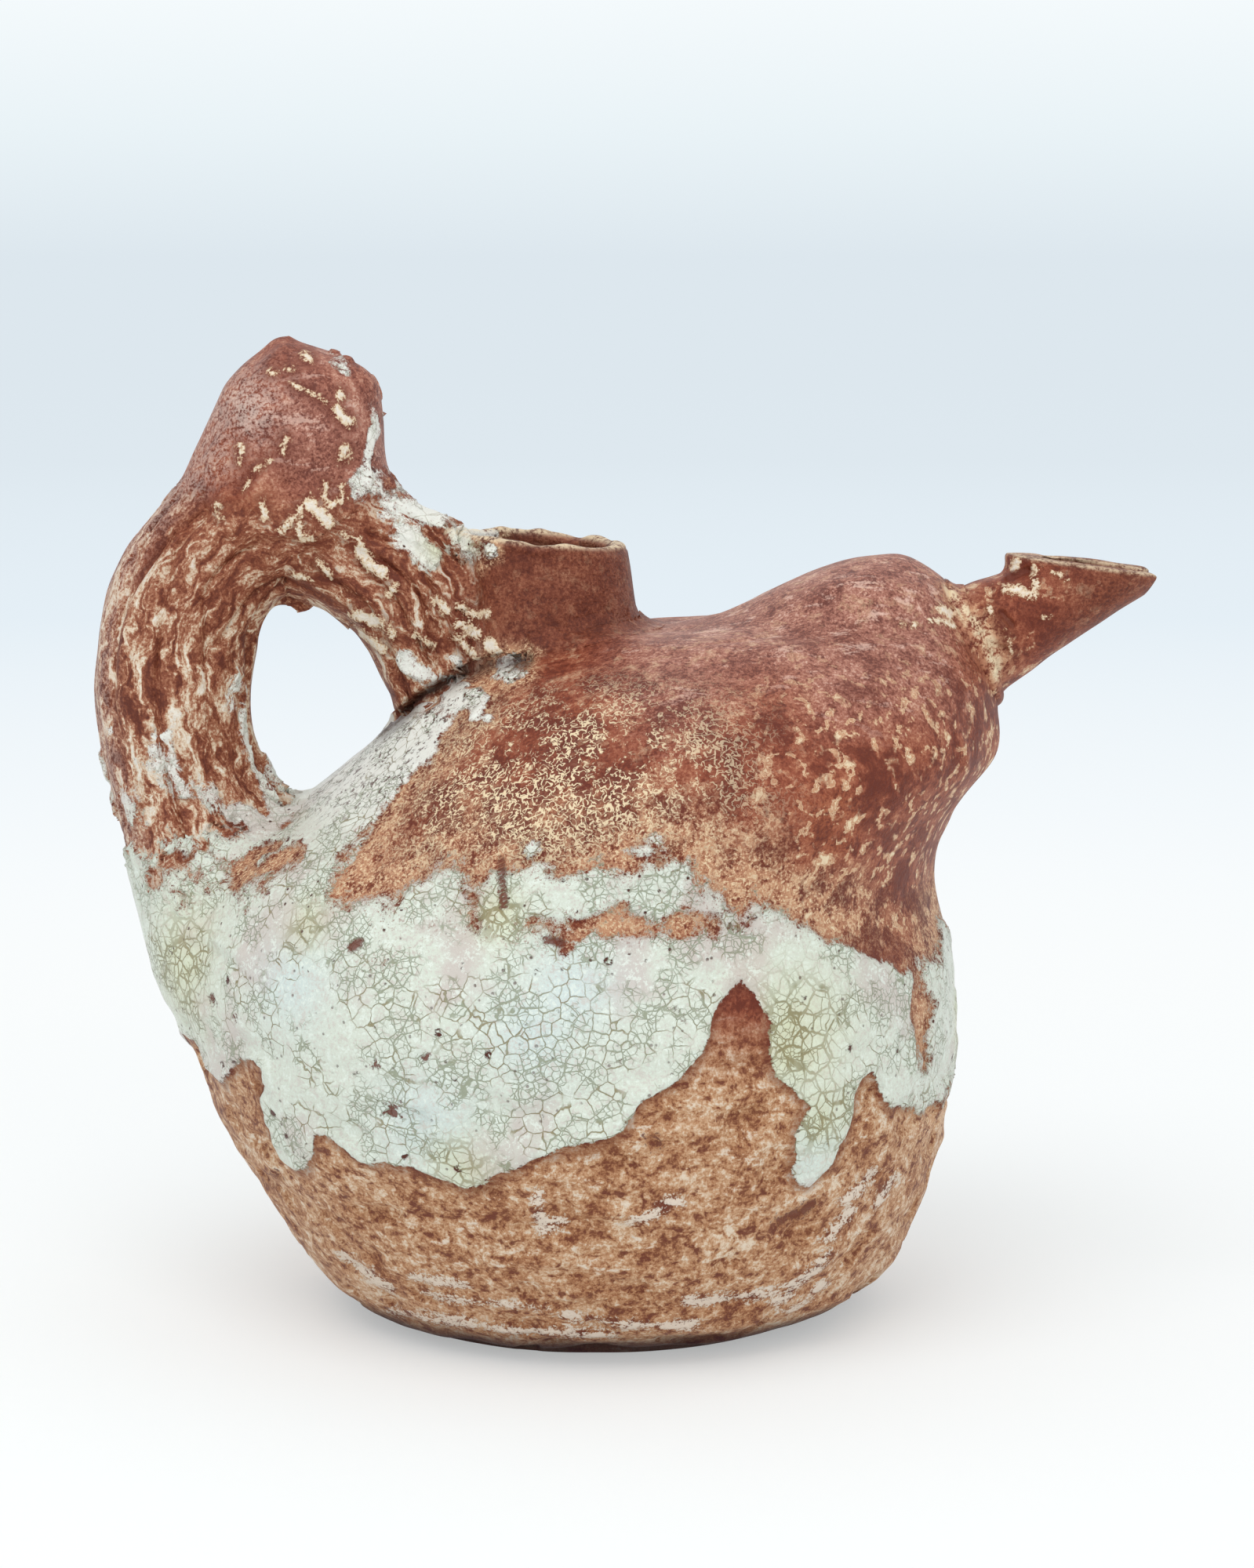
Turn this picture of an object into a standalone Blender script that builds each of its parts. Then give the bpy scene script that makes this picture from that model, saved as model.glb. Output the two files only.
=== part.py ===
# Hand-built stoneware teapot in the shape of a plump bird: a pinched body, a cut spout for a beak,
# a mouth on its back and an arched tail for a handle. Metres, Z up, spout towards +X, foot centred on
# the origin.
import math
from collections import namedtuple

import bmesh
import bpy
from mathutils import Matrix, Vector

# Clay thickness and the line of slip left between two joined pieces
WALL = 0.006
SLIP = 0.0003
BURY = 0.012

# Level sections of the body, each as its rise above the one below it and its reach from the foot's axis
Section = namedtuple("Section", "rise back front depth")
FOOT_UNDERSIDE = Section(rise=0.0, back=0.0405, front=0.0405, depth=0.0385)
FOOT_EDGE = Section(rise=0.0016, back=0.0470, front=0.0475, depth=0.0435)
FOOT_TOP = Section(rise=0.0044, back=0.0515, front=0.0530, depth=0.0480)
LOW_BELLY = Section(rise=0.016, back=0.0618, front=0.0604, depth=0.0580)
BELLY = Section(rise=0.027, back=0.0738, front=0.0650, depth=0.0655)
HIGH_BELLY = Section(rise=0.015, back=0.0762, front=0.0642, depth=0.0650)
WAIST = Section(rise=0.015, back=0.0700, front=0.0609, depth=0.0615)
BREAST = Section(rise=0.011, back=0.0560, front=0.0638, depth=0.0595)
CHEST = Section(rise=0.013, back=0.0400, front=0.0714, depth=0.0550)
SHOULDER = Section(rise=0.011, back=0.0275, front=0.0712, depth=0.0455)
NAPE = Section(rise=0.008, back=0.0100, front=0.0686, depth=0.0335)
NECK = Section(rise=0.0045, back=-0.0230, front=0.0665, depth=0.0215)
BROW = Section(rise=0.0065, back=-0.0360, front=0.0628, depth=0.0150)
HEAD_TOP = Section(rise=0.0044, back=-0.0530, front=0.0530, depth=0.0)

# Mouth collar on the bird's back, its axis leaning towards the handle
COLLAR_SETBACK = 0.0105
COLLAR_OUTER_RADIUS = 0.0157
COLLAR_BORE_RADIUS = 0.0125
COLLAR_TAPER = 0.0012
COLLAR_RISE = 0.0137
COLLAR_LEAN = 5.0
RIM_SLOPE = 4.8
COLLAR_COIL_RADIUS = 0.0042

# Spout, a tube whose end is cut off nearly level
SPOUT_SLOPE = 32.5
SPOUT_OUTER_RADIUS = 0.0104
SPOUT_BORE_RADIUS = 0.0072
SPOUT_END_TAPER = 0.0014
SPOUT_LENGTH = 0.0400
SPOUT_DROP = 0.0055
SPOUT_SETBACK = 0.0010
LIP_BACK_REACH = 0.0140
LIP_SLOPE = 7.5
LIP_LENGTH = 0.0270
LIP_END_SLOPE = 62.0
SPOUT_COIL_RADIUS = 0.0022
STRAINER_HOLE_RADIUS = 0.0019
STRAINER_RING_RADIUS = 0.0048
STRAINER_HOLES = 6

# Arched handle: middle line and radius, as outward reach and rise from the waist; the bends that are named
# after a drop are measured down from the arch's top instead
Bend = namedtuple("Bend", "reach rise radius")
DropBend = namedtuple("DropBend", "reach drop radius")
LIMB_FLATNESS = 0.90
BACK_ROOT = Bend(reach=-0.0020, rise=0.0020, radius=0.0148)
BACK_HEEL = Bend(reach=0.0046, rise=0.0180, radius=0.0138)
BACK_BULGE = Bend(reach=0.0070, rise=0.0350, radius=0.0139)
BACK_RISE = Bend(reach=0.0040, rise=0.0500, radius=0.0138)
BACK_SHOULDER = DropBend(reach=-0.0045, drop=0.0035, radius=0.0132)
ARCH_TOP = Bend(reach=-0.0150, rise=0.0640, radius=0.0124)
FRONT_SHOULDER = DropBend(reach=-0.0245, drop=0.0040, radius=0.0122)
FRONT_KNEE = DropBend(reach=-0.0352, drop=0.0112, radius=0.0130)
FRONT_SHIN = Bend(reach=-0.0396, rise=0.0430, radius=0.0112)
FRONT_FOOT = Bend(reach=-0.0450, rise=0.0260, radius=0.0098)

# Crest on top of the arch, as level sections measured from the arch's middle line
Crest = namedtuple("Crest", "rise back front depth")
CREST_SKIRT = Crest(rise=-0.001, back=0.0130, front=0.0145, depth=0.0105)
CREST_HIP = Crest(rise=0.009, back=0.0170, front=0.0168, depth=0.0130)
CREST_FULL = Crest(rise=0.008, back=0.0160, front=0.0172, depth=0.0135)
CREST_BROW = Crest(rise=0.008, back=0.0118, front=0.0152, depth=0.0115)
CREST_TIP = Crest(rise=0.007, back=0.0030, front=0.0050, depth=0.0040)
CREST_APEX_RISE = 0.0012

# Pad that spreads the handle's lower end over the belly
PAD_REACH = 0.0105
PAD_HALF_WIDTH = 0.0190
PAD_HALF_HEIGHT = 0.0180
PAD_DROP = 0.0070

# Smoothness of the round pieces
AROUND = 44
STEPS = 3
TUBE_STEPS = 3
RING = 28
AROUND_COLLAR = 40
AROUND_MOUTH = 36
AROUND_SPOUT = 32
AROUND_BORE = 28
AROUND_CREST = 24
AROUND_LIMB = 20
AROUND_PAD = 20
PAD_LEVELS = 12
AROUND_COIL = 10
AROUND_HOLE = 10

# Glaze colours
RUST = (0.235, 0.062, 0.022)
PLUM = (0.145, 0.035, 0.018)
TAN = (0.340, 0.125, 0.048)
CELADON = (0.640, 0.650, 0.560)
CREAM = (0.560, 0.420, 0.280)

PARTS_NAME = "bird_teapot"
CUTTERS_NAME = "bird_teapot_cutters"


def clear_scene():
    for found in list(bpy.data.objects):
        bpy.data.objects.remove(found, do_unlink=True)


def new_collection(name, hidden=False):
    group = bpy.data.collections.new(name)
    group.hide_render = hidden
    bpy.context.scene.collection.children.link(group)
    return group


def glaze(name, colour, roughness):
    coat = bpy.data.materials.new(name)
    coat.use_nodes = True
    shader = coat.node_tree.nodes["Principled BSDF"]
    shader.inputs["Base Color"].default_value = (*colour, 1.0)
    shader.inputs["Roughness"].default_value = roughness
    shader.inputs["Metallic"].default_value = 0.0
    return coat


def smooth_rows(stations, steps):
    """Rows of a smooth curve through the stations, each stretch cut into the same number of steps."""
    points = [Vector(row) for row in stations]
    knots = [0.0]
    for before, after in zip(points, points[1:]):
        knots.append(knots[-1] + (after - before).length)
    slopes = []
    for i in range(len(points)):
        lo = max(i - 1, 0)
        hi = min(i + 1, len(points) - 1)
        if lo == i or hi == i:
            slopes.append((points[hi] - points[lo]) / (knots[hi] - knots[lo]))
            continue
        left = (points[i] - points[lo]) / (knots[i] - knots[lo])
        right = (points[hi] - points[i]) / (knots[hi] - knots[i])
        share = (knots[i] - knots[lo]) / (knots[hi] - knots[lo])
        slopes.append(left * (1.0 - share) + right * share)
    rows = [points[0]]
    for i in range(len(points) - 1):
        span = knots[i + 1] - knots[i]
        for step in range(1, steps + 1):
            t = step / steps
            a = 2 * t**3 - 3 * t**2 + 1
            b = t**3 - 2 * t**2 + t
            c = -2 * t**3 + 3 * t**2
            d = t**3 - t**2
            place = points[i] * a + points[i + 1] * c
            rows.append(place + (slopes[i] * b + slopes[i + 1] * d) * span)
    return rows


def level_ring(row, count):
    """Oval ring at one height; row holds height, back reach, front reach and half depth."""
    height, back, front, depth = row
    middle = (front - back) / 2
    half = (front + back) / 2
    if half < 1e-6:
        return [Vector((middle, 0.0, height))]
    ring = []
    for i in range(count):
        angle = 2 * math.pi * i / count
        ring.append(Vector((middle + half * math.cos(angle), depth * math.sin(angle), height)))
    return ring


def add_object(name, mesh, group, coat):
    made = bpy.data.objects.new(name, mesh)
    group.objects.link(made)
    if coat:
        mesh.materials.append(coat)
    return made


def finish_mesh(work, name):
    bmesh.ops.recalc_face_normals(work, faces=work.faces)
    for face in work.faces:
        face.smooth = True
    mesh = bpy.data.meshes.new(name)
    work.to_mesh(mesh)
    work.free()
    mesh.set_sharp_from_angle(angle=math.radians(48))
    return mesh


def ring_skin(name, rings, looped=False):
    """Skin over a run of rings; single points are poles and open ends are capped flat."""
    work = bmesh.new()
    rows = [[work.verts.new(point) for point in ring] for ring in rings]
    pairs = list(zip(rows, rows[1:]))
    if looped:
        pairs.append((rows[-1], rows[0]))
    for low, high in pairs:
        count = max(len(low), len(high))
        if count == 1:
            continue
        for i in range(count):
            j = (i + 1) % count
            corners = [low[i % len(low)], low[j % len(low)], high[j % len(high)], high[i % len(high)]]
            work.faces.new(list(dict.fromkeys(corners)))
    if not looped:
        for end in (rows[0], rows[-1]):
            if len(end) > 2:
                work.faces.new(end)
    return finish_mesh(work, name)


def body_stations(inset):
    """Body sections as height, back, front and depth, moved inwards by the inset."""
    sections = (FOOT_UNDERSIDE, FOOT_EDGE, FOOT_TOP, LOW_BELLY, BELLY, HIGH_BELLY, WAIST, BREAST, CHEST,
                SHOULDER, NAPE, NECK, BROW, HEAD_TOP)
    waist = level_of(WAIST)
    top = level_of(HEAD_TOP)
    rows = []
    for section in sections:
        height = level_of(section)
        if height > waist:
            height = waist + (height - waist) * (top - inset - waist) / (top - waist)
        if section is HEAD_TOP:
            rows.append((height, section.back, section.front, 0.0))
        else:
            rows.append((height, section.back - inset, section.front - inset, section.depth - inset))
    return rows


def level_of(section):
    """Height of a body section above the table."""
    height = 0.0
    for each in (FOOT_UNDERSIDE, FOOT_EDGE, FOOT_TOP, LOW_BELLY, BELLY, HIGH_BELLY, WAIST, BREAST, CHEST,
                 SHOULDER, NAPE, NECK, BROW, HEAD_TOP):
        height += each.rise
        if each is section:
            break
    return height


def body_rings(inset, first, last):
    """Rings of the body's skin between two of its sections, counted from the foot."""
    rows = smooth_rows(body_stations(inset), STEPS)
    return [level_ring(row, AROUND) for row in rows[first * STEPS:last * STEPS + 1]]


def wall_rings(first, last):
    """Closed run of rings up the outside of the body's wall and down its inside, standing on a slip line."""
    outer = body_rings(0.0, first, last)
    inner = body_rings(WALL, first, last)
    for ring in (outer[0], inner[0]):
        for point in ring:
            point.z += SLIP
    return outer + inner[::-1]


def slice_off(mesh, point, normal):
    """Cut away the side of a mesh that the normal points to and close the cut with a flat face."""
    work = bmesh.new()
    work.from_mesh(mesh)
    everything = work.verts[:] + work.edges[:] + work.faces[:]
    bmesh.ops.bisect_plane(work, geom=everything, plane_co=point, plane_no=normal, clear_outer=True)
    bmesh.ops.holes_fill(work, edges=[edge for edge in work.edges if edge.is_boundary])
    bmesh.ops.recalc_face_normals(work, faces=work.faces)
    work.to_mesh(mesh)
    work.free()


def limb_rings(bends, growth):
    """Oval rings square to a smooth middle line in the XZ plane; the bends hold x, z and radius."""
    rows = smooth_rows(bends, TUBE_STEPS)
    rings = []
    for i, (x, z, radius) in enumerate(rows):
        before = rows[max(i - 1, 0)]
        after = rows[min(i + 1, len(rows) - 1)]
        along = Vector((after[0] - before[0], 0.0, after[1] - before[1])).normalized()
        across = Vector((-along.z, 0.0, along.x))
        ring = []
        for step in range(AROUND_LIMB):
            angle = 2 * math.pi * step / AROUND_LIMB
            side = Vector((0.0, (radius * LIMB_FLATNESS + growth) * math.sin(angle), 0.0))
            ring.append(Vector((x, 0.0, z)) + across * ((radius + growth) * math.cos(angle)) + side)
        rings.append(ring)
    return rings


def bend_row(bend):
    """Place and radius of one bend of the handle, as x, z and radius."""
    rise = ARCH_TOP.rise - bend.drop if isinstance(bend, DropBend) else bend.rise
    return (-WAIST.back - bend.reach, level_of(WAIST) + rise, bend.radius)


def cone_mesh(name, start, axis, length, start_radius, end_radius, count):
    """Straight tapered rod from a start point along an axis."""
    work = bmesh.new()
    bmesh.ops.create_cone(work, cap_ends=True, segments=count, radius1=start_radius, radius2=end_radius,
                          depth=length)
    turn = axis.to_track_quat("Z", "Y").to_matrix().to_4x4()
    place = Matrix.Translation(start + axis * (length / 2)) @ turn
    bmesh.ops.transform(work, matrix=place, verts=work.verts)
    return finish_mesh(work, name)


def inside_body(point):
    """True for a point inside the body's outer skin."""
    rows = smooth_rows(body_stations(0.0), STEPS)
    for low, high in zip(rows, rows[1:]):
        if low[0] <= point.z < high[0]:
            height, back, front, depth = low.lerp(high, (point.z - low[0]) / (high[0] - low[0]))
            middle = (front - back) / 2
            half = (front + back) / 2
            return ((point.x - middle) / half) ** 2 + (point.y / depth) ** 2 < 1.0
    return False


def landing(start, direction, length):
    """Point where a straight line from outside first meets the body's skin."""
    near = 0.0
    far = length
    for halving in range(24):
        middle = (near + far) / 2
        if inside_body(start + direction * middle):
            far = middle
        else:
            near = middle
    return start + direction * near


def coil_rings(top, axis, radius, length, coil_radius):
    """Closed rope of clay in the corner where a tube of the given radius stands on the body."""
    side = Vector((0.0, 1.0, 0.0))
    across = side.cross(axis)
    line = []
    for step in range(RING):
        angle = 2 * math.pi * step / RING
        outward = across * math.cos(angle) + side * math.sin(angle)
        line.append((landing(top + outward * radius, -axis, length), outward))
    rings = []
    for i, (middle, outward) in enumerate(line):
        along = (line[(i + 1) % RING][0] - line[i - 1][0]).normalized()
        upward = along.cross(outward).normalized()
        flat = upward.cross(along)
        ring = []
        for step in range(AROUND_COIL):
            angle = 2 * math.pi * step / AROUND_COIL
            ring.append(middle + (flat * math.cos(angle) + upward * math.sin(angle)) * coil_radius)
        rings.append(ring)
    return rings


def pad_mesh(name, middle, half_sizes):
    work = bmesh.new()
    bmesh.ops.create_uvsphere(work, u_segments=AROUND_PAD, v_segments=PAD_LEVELS, radius=1.0)
    bmesh.ops.transform(work, matrix=Matrix.Translation(middle) @ Matrix.Diagonal((*half_sizes, 1.0)),
                        verts=work.verts)
    return finish_mesh(work, name)


def cut(piece, cutter):
    bite = piece.modifiers.new("cut_" + cutter.name, "BOOLEAN")
    bite.operation = "DIFFERENCE"
    bite.solver = "EXACT"
    bite.object = cutter


def make_cutter(name, mesh):
    made = add_object(name, mesh, cutters, None)
    made.hide_render = True
    made.display_type = "WIRE"
    return made


def make_part(name, mesh, coat):
    return add_object(name, mesh, parts, coat)


clear_scene()
parts = new_collection(PARTS_NAME)
cutters = new_collection(CUTTERS_NAME, hidden=True)

# Heights and axes shared by several pieces
waist_level = level_of(WAIST)
neck_level = level_of(NECK)
collar_axis = Vector((-math.sin(math.radians(COLLAR_LEAN)), 0.0, math.cos(math.radians(COLLAR_LEAN))))
collar_rim = Vector((-COLLAR_SETBACK, 0.0, neck_level + COLLAR_RISE))
spout_axis = Vector((math.cos(math.radians(SPOUT_SLOPE)), 0.0, math.sin(math.radians(SPOUT_SLOPE))))
spout_up = Vector((-spout_axis.z, 0.0, spout_axis.x))
spout_foot = Vector((NECK.front + SPOUT_SETBACK, 0.0, neck_level - SPOUT_DROP))
arch_x, arch_z = bend_row(ARCH_TOP)[:2]
arch_middle = Vector((arch_x, 0.0, arch_z))

# Solid outlines that the added pieces are shaped against, one slip line outside the clay
body_form = make_cutter("body_form", ring_skin("body_form", body_rings(-SLIP, 0, 13)))
collar_start = collar_rim - collar_axis * (COLLAR_RISE + BURY)
collar_length = COLLAR_RISE + BURY
collar_foot_radius = COLLAR_OUTER_RADIUS + COLLAR_TAPER
collar_form = make_cutter("collar_form", cone_mesh(
    "collar_form", collar_start, collar_axis, collar_length + BURY,
    collar_foot_radius + SLIP, COLLAR_OUTER_RADIUS - COLLAR_TAPER + SLIP, AROUND_COLLAR))
spout_start = spout_foot - spout_axis * BURY
spout_run = SPOUT_LENGTH + BURY
spout_form = make_cutter("spout_form", cone_mesh(
    "spout_form", spout_start, spout_axis, spout_run,
    SPOUT_OUTER_RADIUS + SLIP, SPOUT_OUTER_RADIUS - SPOUT_END_TAPER + SLIP, AROUND_SPOUT))
back_bends = [bend_row(b) for b in (BACK_ROOT, BACK_HEEL, BACK_BULGE, BACK_RISE, BACK_SHOULDER, ARCH_TOP,
                                    FRONT_SHOULDER)]
front_bends = [bend_row(b) for b in (BACK_SHOULDER, ARCH_TOP, FRONT_SHOULDER, FRONT_KNEE, FRONT_SHIN,
                                     FRONT_FOOT)]
back_form = make_cutter("back_limb_form", ring_skin("back_limb_form", limb_rings(back_bends, SLIP)))
front_form = make_cutter("front_limb_form", ring_skin("front_limb_form", limb_rings(front_bends, SLIP)))

# Bores and holes
mouth_bore = make_cutter("mouth_bore", cone_mesh(
    "mouth_bore", collar_start - collar_axis * BURY, collar_axis, collar_length + 2 * BURY,
    COLLAR_BORE_RADIUS, COLLAR_BORE_RADIUS, AROUND_MOUTH))
spout_bore = make_cutter("spout_bore", cone_mesh(
    "spout_bore", spout_start - spout_axis * BURY, spout_axis, spout_run + 2 * BURY,
    SPOUT_BORE_RADIUS, SPOUT_BORE_RADIUS - SPOUT_END_TAPER, AROUND_BORE))
strainer = []
for hole in range(STRAINER_HOLES + 1):
    side = Vector((0.0, 1.0, 0.0))
    up = spout_axis.cross(side)
    turn = 2 * math.pi * hole / STRAINER_HOLES
    reach = STRAINER_RING_RADIUS if hole < STRAINER_HOLES else 0.0
    start = spout_start - spout_axis * BURY + (side * math.cos(turn) + up * math.sin(turn)) * reach
    strainer.append(make_cutter(f"strainer_hole_{hole + 1}", cone_mesh(
        f"strainer_hole_{hole + 1}", start, spout_axis, SPOUT_LENGTH, STRAINER_HOLE_RADIUS,
        STRAINER_HOLE_RADIUS, AROUND_HOLE)))

# Body: foot slab, pinched bowl, shoulder dome and the cap that is the head
make_part("foot_slab", ring_skin("foot_slab", body_rings(0.0, 0, 2)), glaze("foot_glaze", TAN, 0.45))
make_part("lower_bowl", ring_skin("lower_bowl", wall_rings(2, 6), looped=True),
          glaze("bowl_glaze", CELADON, 0.22))
dome = make_part("upper_dome", ring_skin("upper_dome", wall_rings(6, 11), looped=True),
                 glaze("dome_glaze", RUST, 0.28))
cut(dome, mouth_bore)
for hole in strainer:
    cut(dome, hole)
make_part("head_cap", ring_skin("head_cap", wall_rings(11, 13), looped=True),
          glaze("head_glaze", PLUM, 0.28))

# Mouth collar and the coil in the corner round its foot
collar_mesh = cone_mesh("neck_collar", collar_start, collar_axis, collar_length + BURY,
                        collar_foot_radius, COLLAR_OUTER_RADIUS - COLLAR_TAPER, AROUND_COLLAR)
rim_up = Vector((math.sin(math.radians(RIM_SLOPE)), 0.0, math.cos(math.radians(RIM_SLOPE))))
slice_off(collar_mesh, collar_rim, rim_up)
collar = make_part("neck_collar", collar_mesh, glaze("collar_glaze", RUST, 0.30))
cut(collar, mouth_bore)
cut(collar, body_form)
collar_coil = make_part("collar_luting_coil", ring_skin("collar_luting_coil", coil_rings(
    collar_rim, collar_axis, collar_foot_radius, collar_length, COLLAR_COIL_RADIUS), looped=True),
    glaze("collar_coil_glaze", RUST, 0.30))
cut(collar_coil, body_form)
cut(collar_coil, collar_form)

# Spout with its level cut, and the ridge of clay round its foot
spout_mesh = cone_mesh("spout", spout_start, spout_axis, spout_run, SPOUT_OUTER_RADIUS,
                       SPOUT_OUTER_RADIUS - SPOUT_END_TAPER, AROUND_SPOUT)
lip_back = spout_foot + spout_axis * LIP_BACK_REACH + spout_up * SPOUT_OUTER_RADIUS
lip_line = Vector((math.cos(math.radians(LIP_SLOPE)), 0.0, -math.sin(math.radians(LIP_SLOPE))))
slice_off(spout_mesh, lip_back, Vector((-lip_line.z, 0.0, lip_line.x)))
end_line = Vector((math.cos(math.radians(LIP_END_SLOPE)), 0.0, math.sin(math.radians(LIP_END_SLOPE))))
slice_off(spout_mesh, lip_back + lip_line * LIP_LENGTH, Vector((end_line.z, 0.0, -end_line.x)))
spout = make_part("spout", spout_mesh, glaze("spout_glaze", RUST, 0.28))
cut(spout, spout_bore)
cut(spout, body_form)
spout_coil = make_part("spout_luting_coil", ring_skin("spout_luting_coil", coil_rings(
    spout_foot + spout_axis * BURY, spout_axis, SPOUT_OUTER_RADIUS, 2 * BURY, SPOUT_COIL_RADIUS),
    looped=True), glaze("spout_coil_glaze", CREAM, 0.30))
cut(spout_coil, body_form)
cut(spout_coil, spout_form)

# Handle: two limbs that meet at the top of the arch, the crest over them and the pad at the root
front_mesh = ring_skin("handle_front_limb", limb_rings(front_bends, 0.0))
slice_off(front_mesh, arch_middle + Vector((SLIP / 2, 0.0, 0.0)), Vector((-1.0, 0.0, 0.0)))
front_limb = make_part("handle_front_limb", front_mesh, glaze("front_limb_glaze", RUST, 0.28))
cut(front_limb, body_form)
cut(front_limb, collar_form)
cut(collar_coil, front_form)

back_mesh = ring_skin("handle_back_limb", limb_rings(back_bends, 0.0))
slice_off(back_mesh, arch_middle - Vector((SLIP / 2, 0.0, 0.0)), Vector((1.0, 0.0, 0.0)))
back_limb = make_part("handle_back_limb", back_mesh, glaze("back_limb_glaze", RUST, 0.30))
cut(back_limb, body_form)

crest_rows = []
crest_level = arch_z
for section in (CREST_SKIRT, CREST_HIP, CREST_FULL, CREST_BROW, CREST_TIP):
    crest_level += section.rise
    crest_rows.append((crest_level, section.back - arch_x, section.front + arch_x, section.depth))
crest_rings = [level_ring(row, AROUND_CREST) for row in smooth_rows(crest_rows, STEPS)]
crest_rings.append([Vector((arch_x, 0.0, crest_level + CREST_APEX_RISE))])
crest = make_part("handle_crest", ring_skin("handle_crest", crest_rings), glaze("crest_glaze", PLUM, 0.28))
cut(crest, front_form)
cut(crest, back_form)

pad_middle = Vector((-HIGH_BELLY.back + PAD_REACH / 2, 0.0, waist_level - PAD_DROP))
pad = make_part("handle_root_pad", pad_mesh("handle_root_pad", pad_middle, (
    PAD_REACH, PAD_HALF_WIDTH, PAD_HALF_HEIGHT)), glaze("pad_glaze", CELADON, 0.22))
cut(pad, body_form)
cut(pad, back_form)
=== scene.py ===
import math

import bpy
import numpy as np
from mathutils import Matrix


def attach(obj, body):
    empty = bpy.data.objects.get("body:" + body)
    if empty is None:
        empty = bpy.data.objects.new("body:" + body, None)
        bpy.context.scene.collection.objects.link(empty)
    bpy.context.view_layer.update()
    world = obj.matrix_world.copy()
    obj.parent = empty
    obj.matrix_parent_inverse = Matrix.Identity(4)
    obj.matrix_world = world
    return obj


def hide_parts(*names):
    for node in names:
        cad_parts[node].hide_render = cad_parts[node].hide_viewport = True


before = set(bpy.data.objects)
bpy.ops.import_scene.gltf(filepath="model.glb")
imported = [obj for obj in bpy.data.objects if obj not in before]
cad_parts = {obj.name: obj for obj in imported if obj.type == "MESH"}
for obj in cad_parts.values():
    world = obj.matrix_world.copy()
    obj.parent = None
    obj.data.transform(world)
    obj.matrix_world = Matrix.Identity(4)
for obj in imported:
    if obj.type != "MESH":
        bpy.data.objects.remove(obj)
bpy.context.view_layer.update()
print("frame loaded:", len(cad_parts), "solids")

# Lengths below are millimetres; they turn into metres where a mesh is made.
# Spout towards +X, photographed side towards -Y, foot on Z = 0.
metre, millimetre = 1000.0, 0.001

dice = np.random.default_rng(41)
noiseCells, noiseStart = 48, 20.0
noiseCube = dice.uniform(-1.0, 1.0, (noiseCells, noiseCells, noiseCells))
markReach = 4.0  # how far outside a mark its depth is still told apart


# S-shaped step from 0 to 1 between two values
def ease(value, low, high):
    t = np.clip((value - low) / (high - low), 0.0, 1.0)
    return t * t * (3.0 - 2.0 * t)


# bell of height 1 that has faded to a third at the given width
def bell(value, width):
    return np.exp(-((value / width) ** 2))


# random heights at the corners of blocks of the given size, joined smoothly along each axis
def clayNoise(spot, size, shift=0.0):
    q = spot / np.asarray(size, float) + noiseStart + shift
    low = np.floor(q).astype(int)
    f = q - low
    f = f * f * (3.0 - 2.0 * f)
    a, b = low % noiseCells, (low + 1) % noiseCells
    fx, fy, fz = f[..., 0], f[..., 1], f[..., 2]

    # height along one upright edge of a block
    def edge(i, j):
        return noiseCube[i, j, a[..., 2]] * (1 - fz) + noiseCube[i, j, b[..., 2]] * fz

    near = edge(a[..., 0], a[..., 1]) * (1 - fy) + edge(a[..., 0], b[..., 1]) * fy
    far = edge(b[..., 0], a[..., 1]) * (1 - fy) + edge(b[..., 0], b[..., 1]) * fy
    return near * (1 - fx) + far * fx


# smooth curve through stations: cubic stretches whose slopes weigh the chords on both sides by length
def smoothRows(stations, steps):
    p = np.asarray(stations, float)
    span = np.linalg.norm(np.diff(p, axis=0), axis=1)[:, None]
    chord = np.diff(p, axis=0) / span
    share = span[:-1] / (span[:-1] + span[1:])
    slope = np.concatenate([chord[:1], chord[:-1] * (1 - share) + chord[1:] * share, chord[-1:]])
    t = (np.arange(steps) / steps)[None, :, None]
    a, b = p[:-1, None], p[1:, None]
    ma, mb = (slope[:-1] * span)[:, None], (slope[1:] * span)[:, None]
    rows = (a * (2 * t**3 - 3 * t**2 + 1) + ma * (t**3 - 2 * t**2 + t)
            + b * (3 * t**2 - 2 * t**3) + mb * (t**3 - t**2))
    return np.concatenate([rows.reshape(-1, p.shape[1]), p[-1:]])


# the same curve again with a given number of rows at equal spacing along it
def evenRows(rows, count):
    far = np.concatenate([[0.0], np.cumsum(np.linalg.norm(np.diff(rows, axis=0), axis=1))])
    at = np.linspace(0.0, far[-1], count)
    return np.stack([np.interp(at, far, rows[:, j]) for j in range(rows.shape[1])], axis=1)


# unit vectors along the last axis
def unit(v):
    return v / np.maximum(np.linalg.norm(v, axis=-1, keepdims=True), 1e-9)


# shortest distance to a line of points in space, stretch by stretch
def lineGap(spot, line):
    line = np.asarray(line, float)
    best = np.full(spot.shape[:-1], 1e6)
    for a, b in zip(line[:-1], line[1:]):
        run = b - a
        t = np.clip(((spot - a) @ run) / (run @ run), 0.0, 1.0)
        best = np.minimum(best, np.linalg.norm(spot - a - t[..., None] * run, axis=-1))
    return best


# depth into the nearest of a set of marks, outside negative; a mark is a line of x and z as seen from the
# side, and half its width
def markDepth(spot, places):
    x, z = spot[..., 0], spot[..., 2]
    best = np.full(x.shape, -markReach)
    for line, wide in places:
        low, high = np.min(line, axis=0) - wide - markReach, np.max(line, axis=0) + wide + markReach
        near = (x > low[0]) & (x < high[0]) & (z > low[1]) & (z < high[1])
        best[near] = np.maximum(best[near], wide - lineGap(spot[near][:, [0, 2]], line))
    return best


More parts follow.
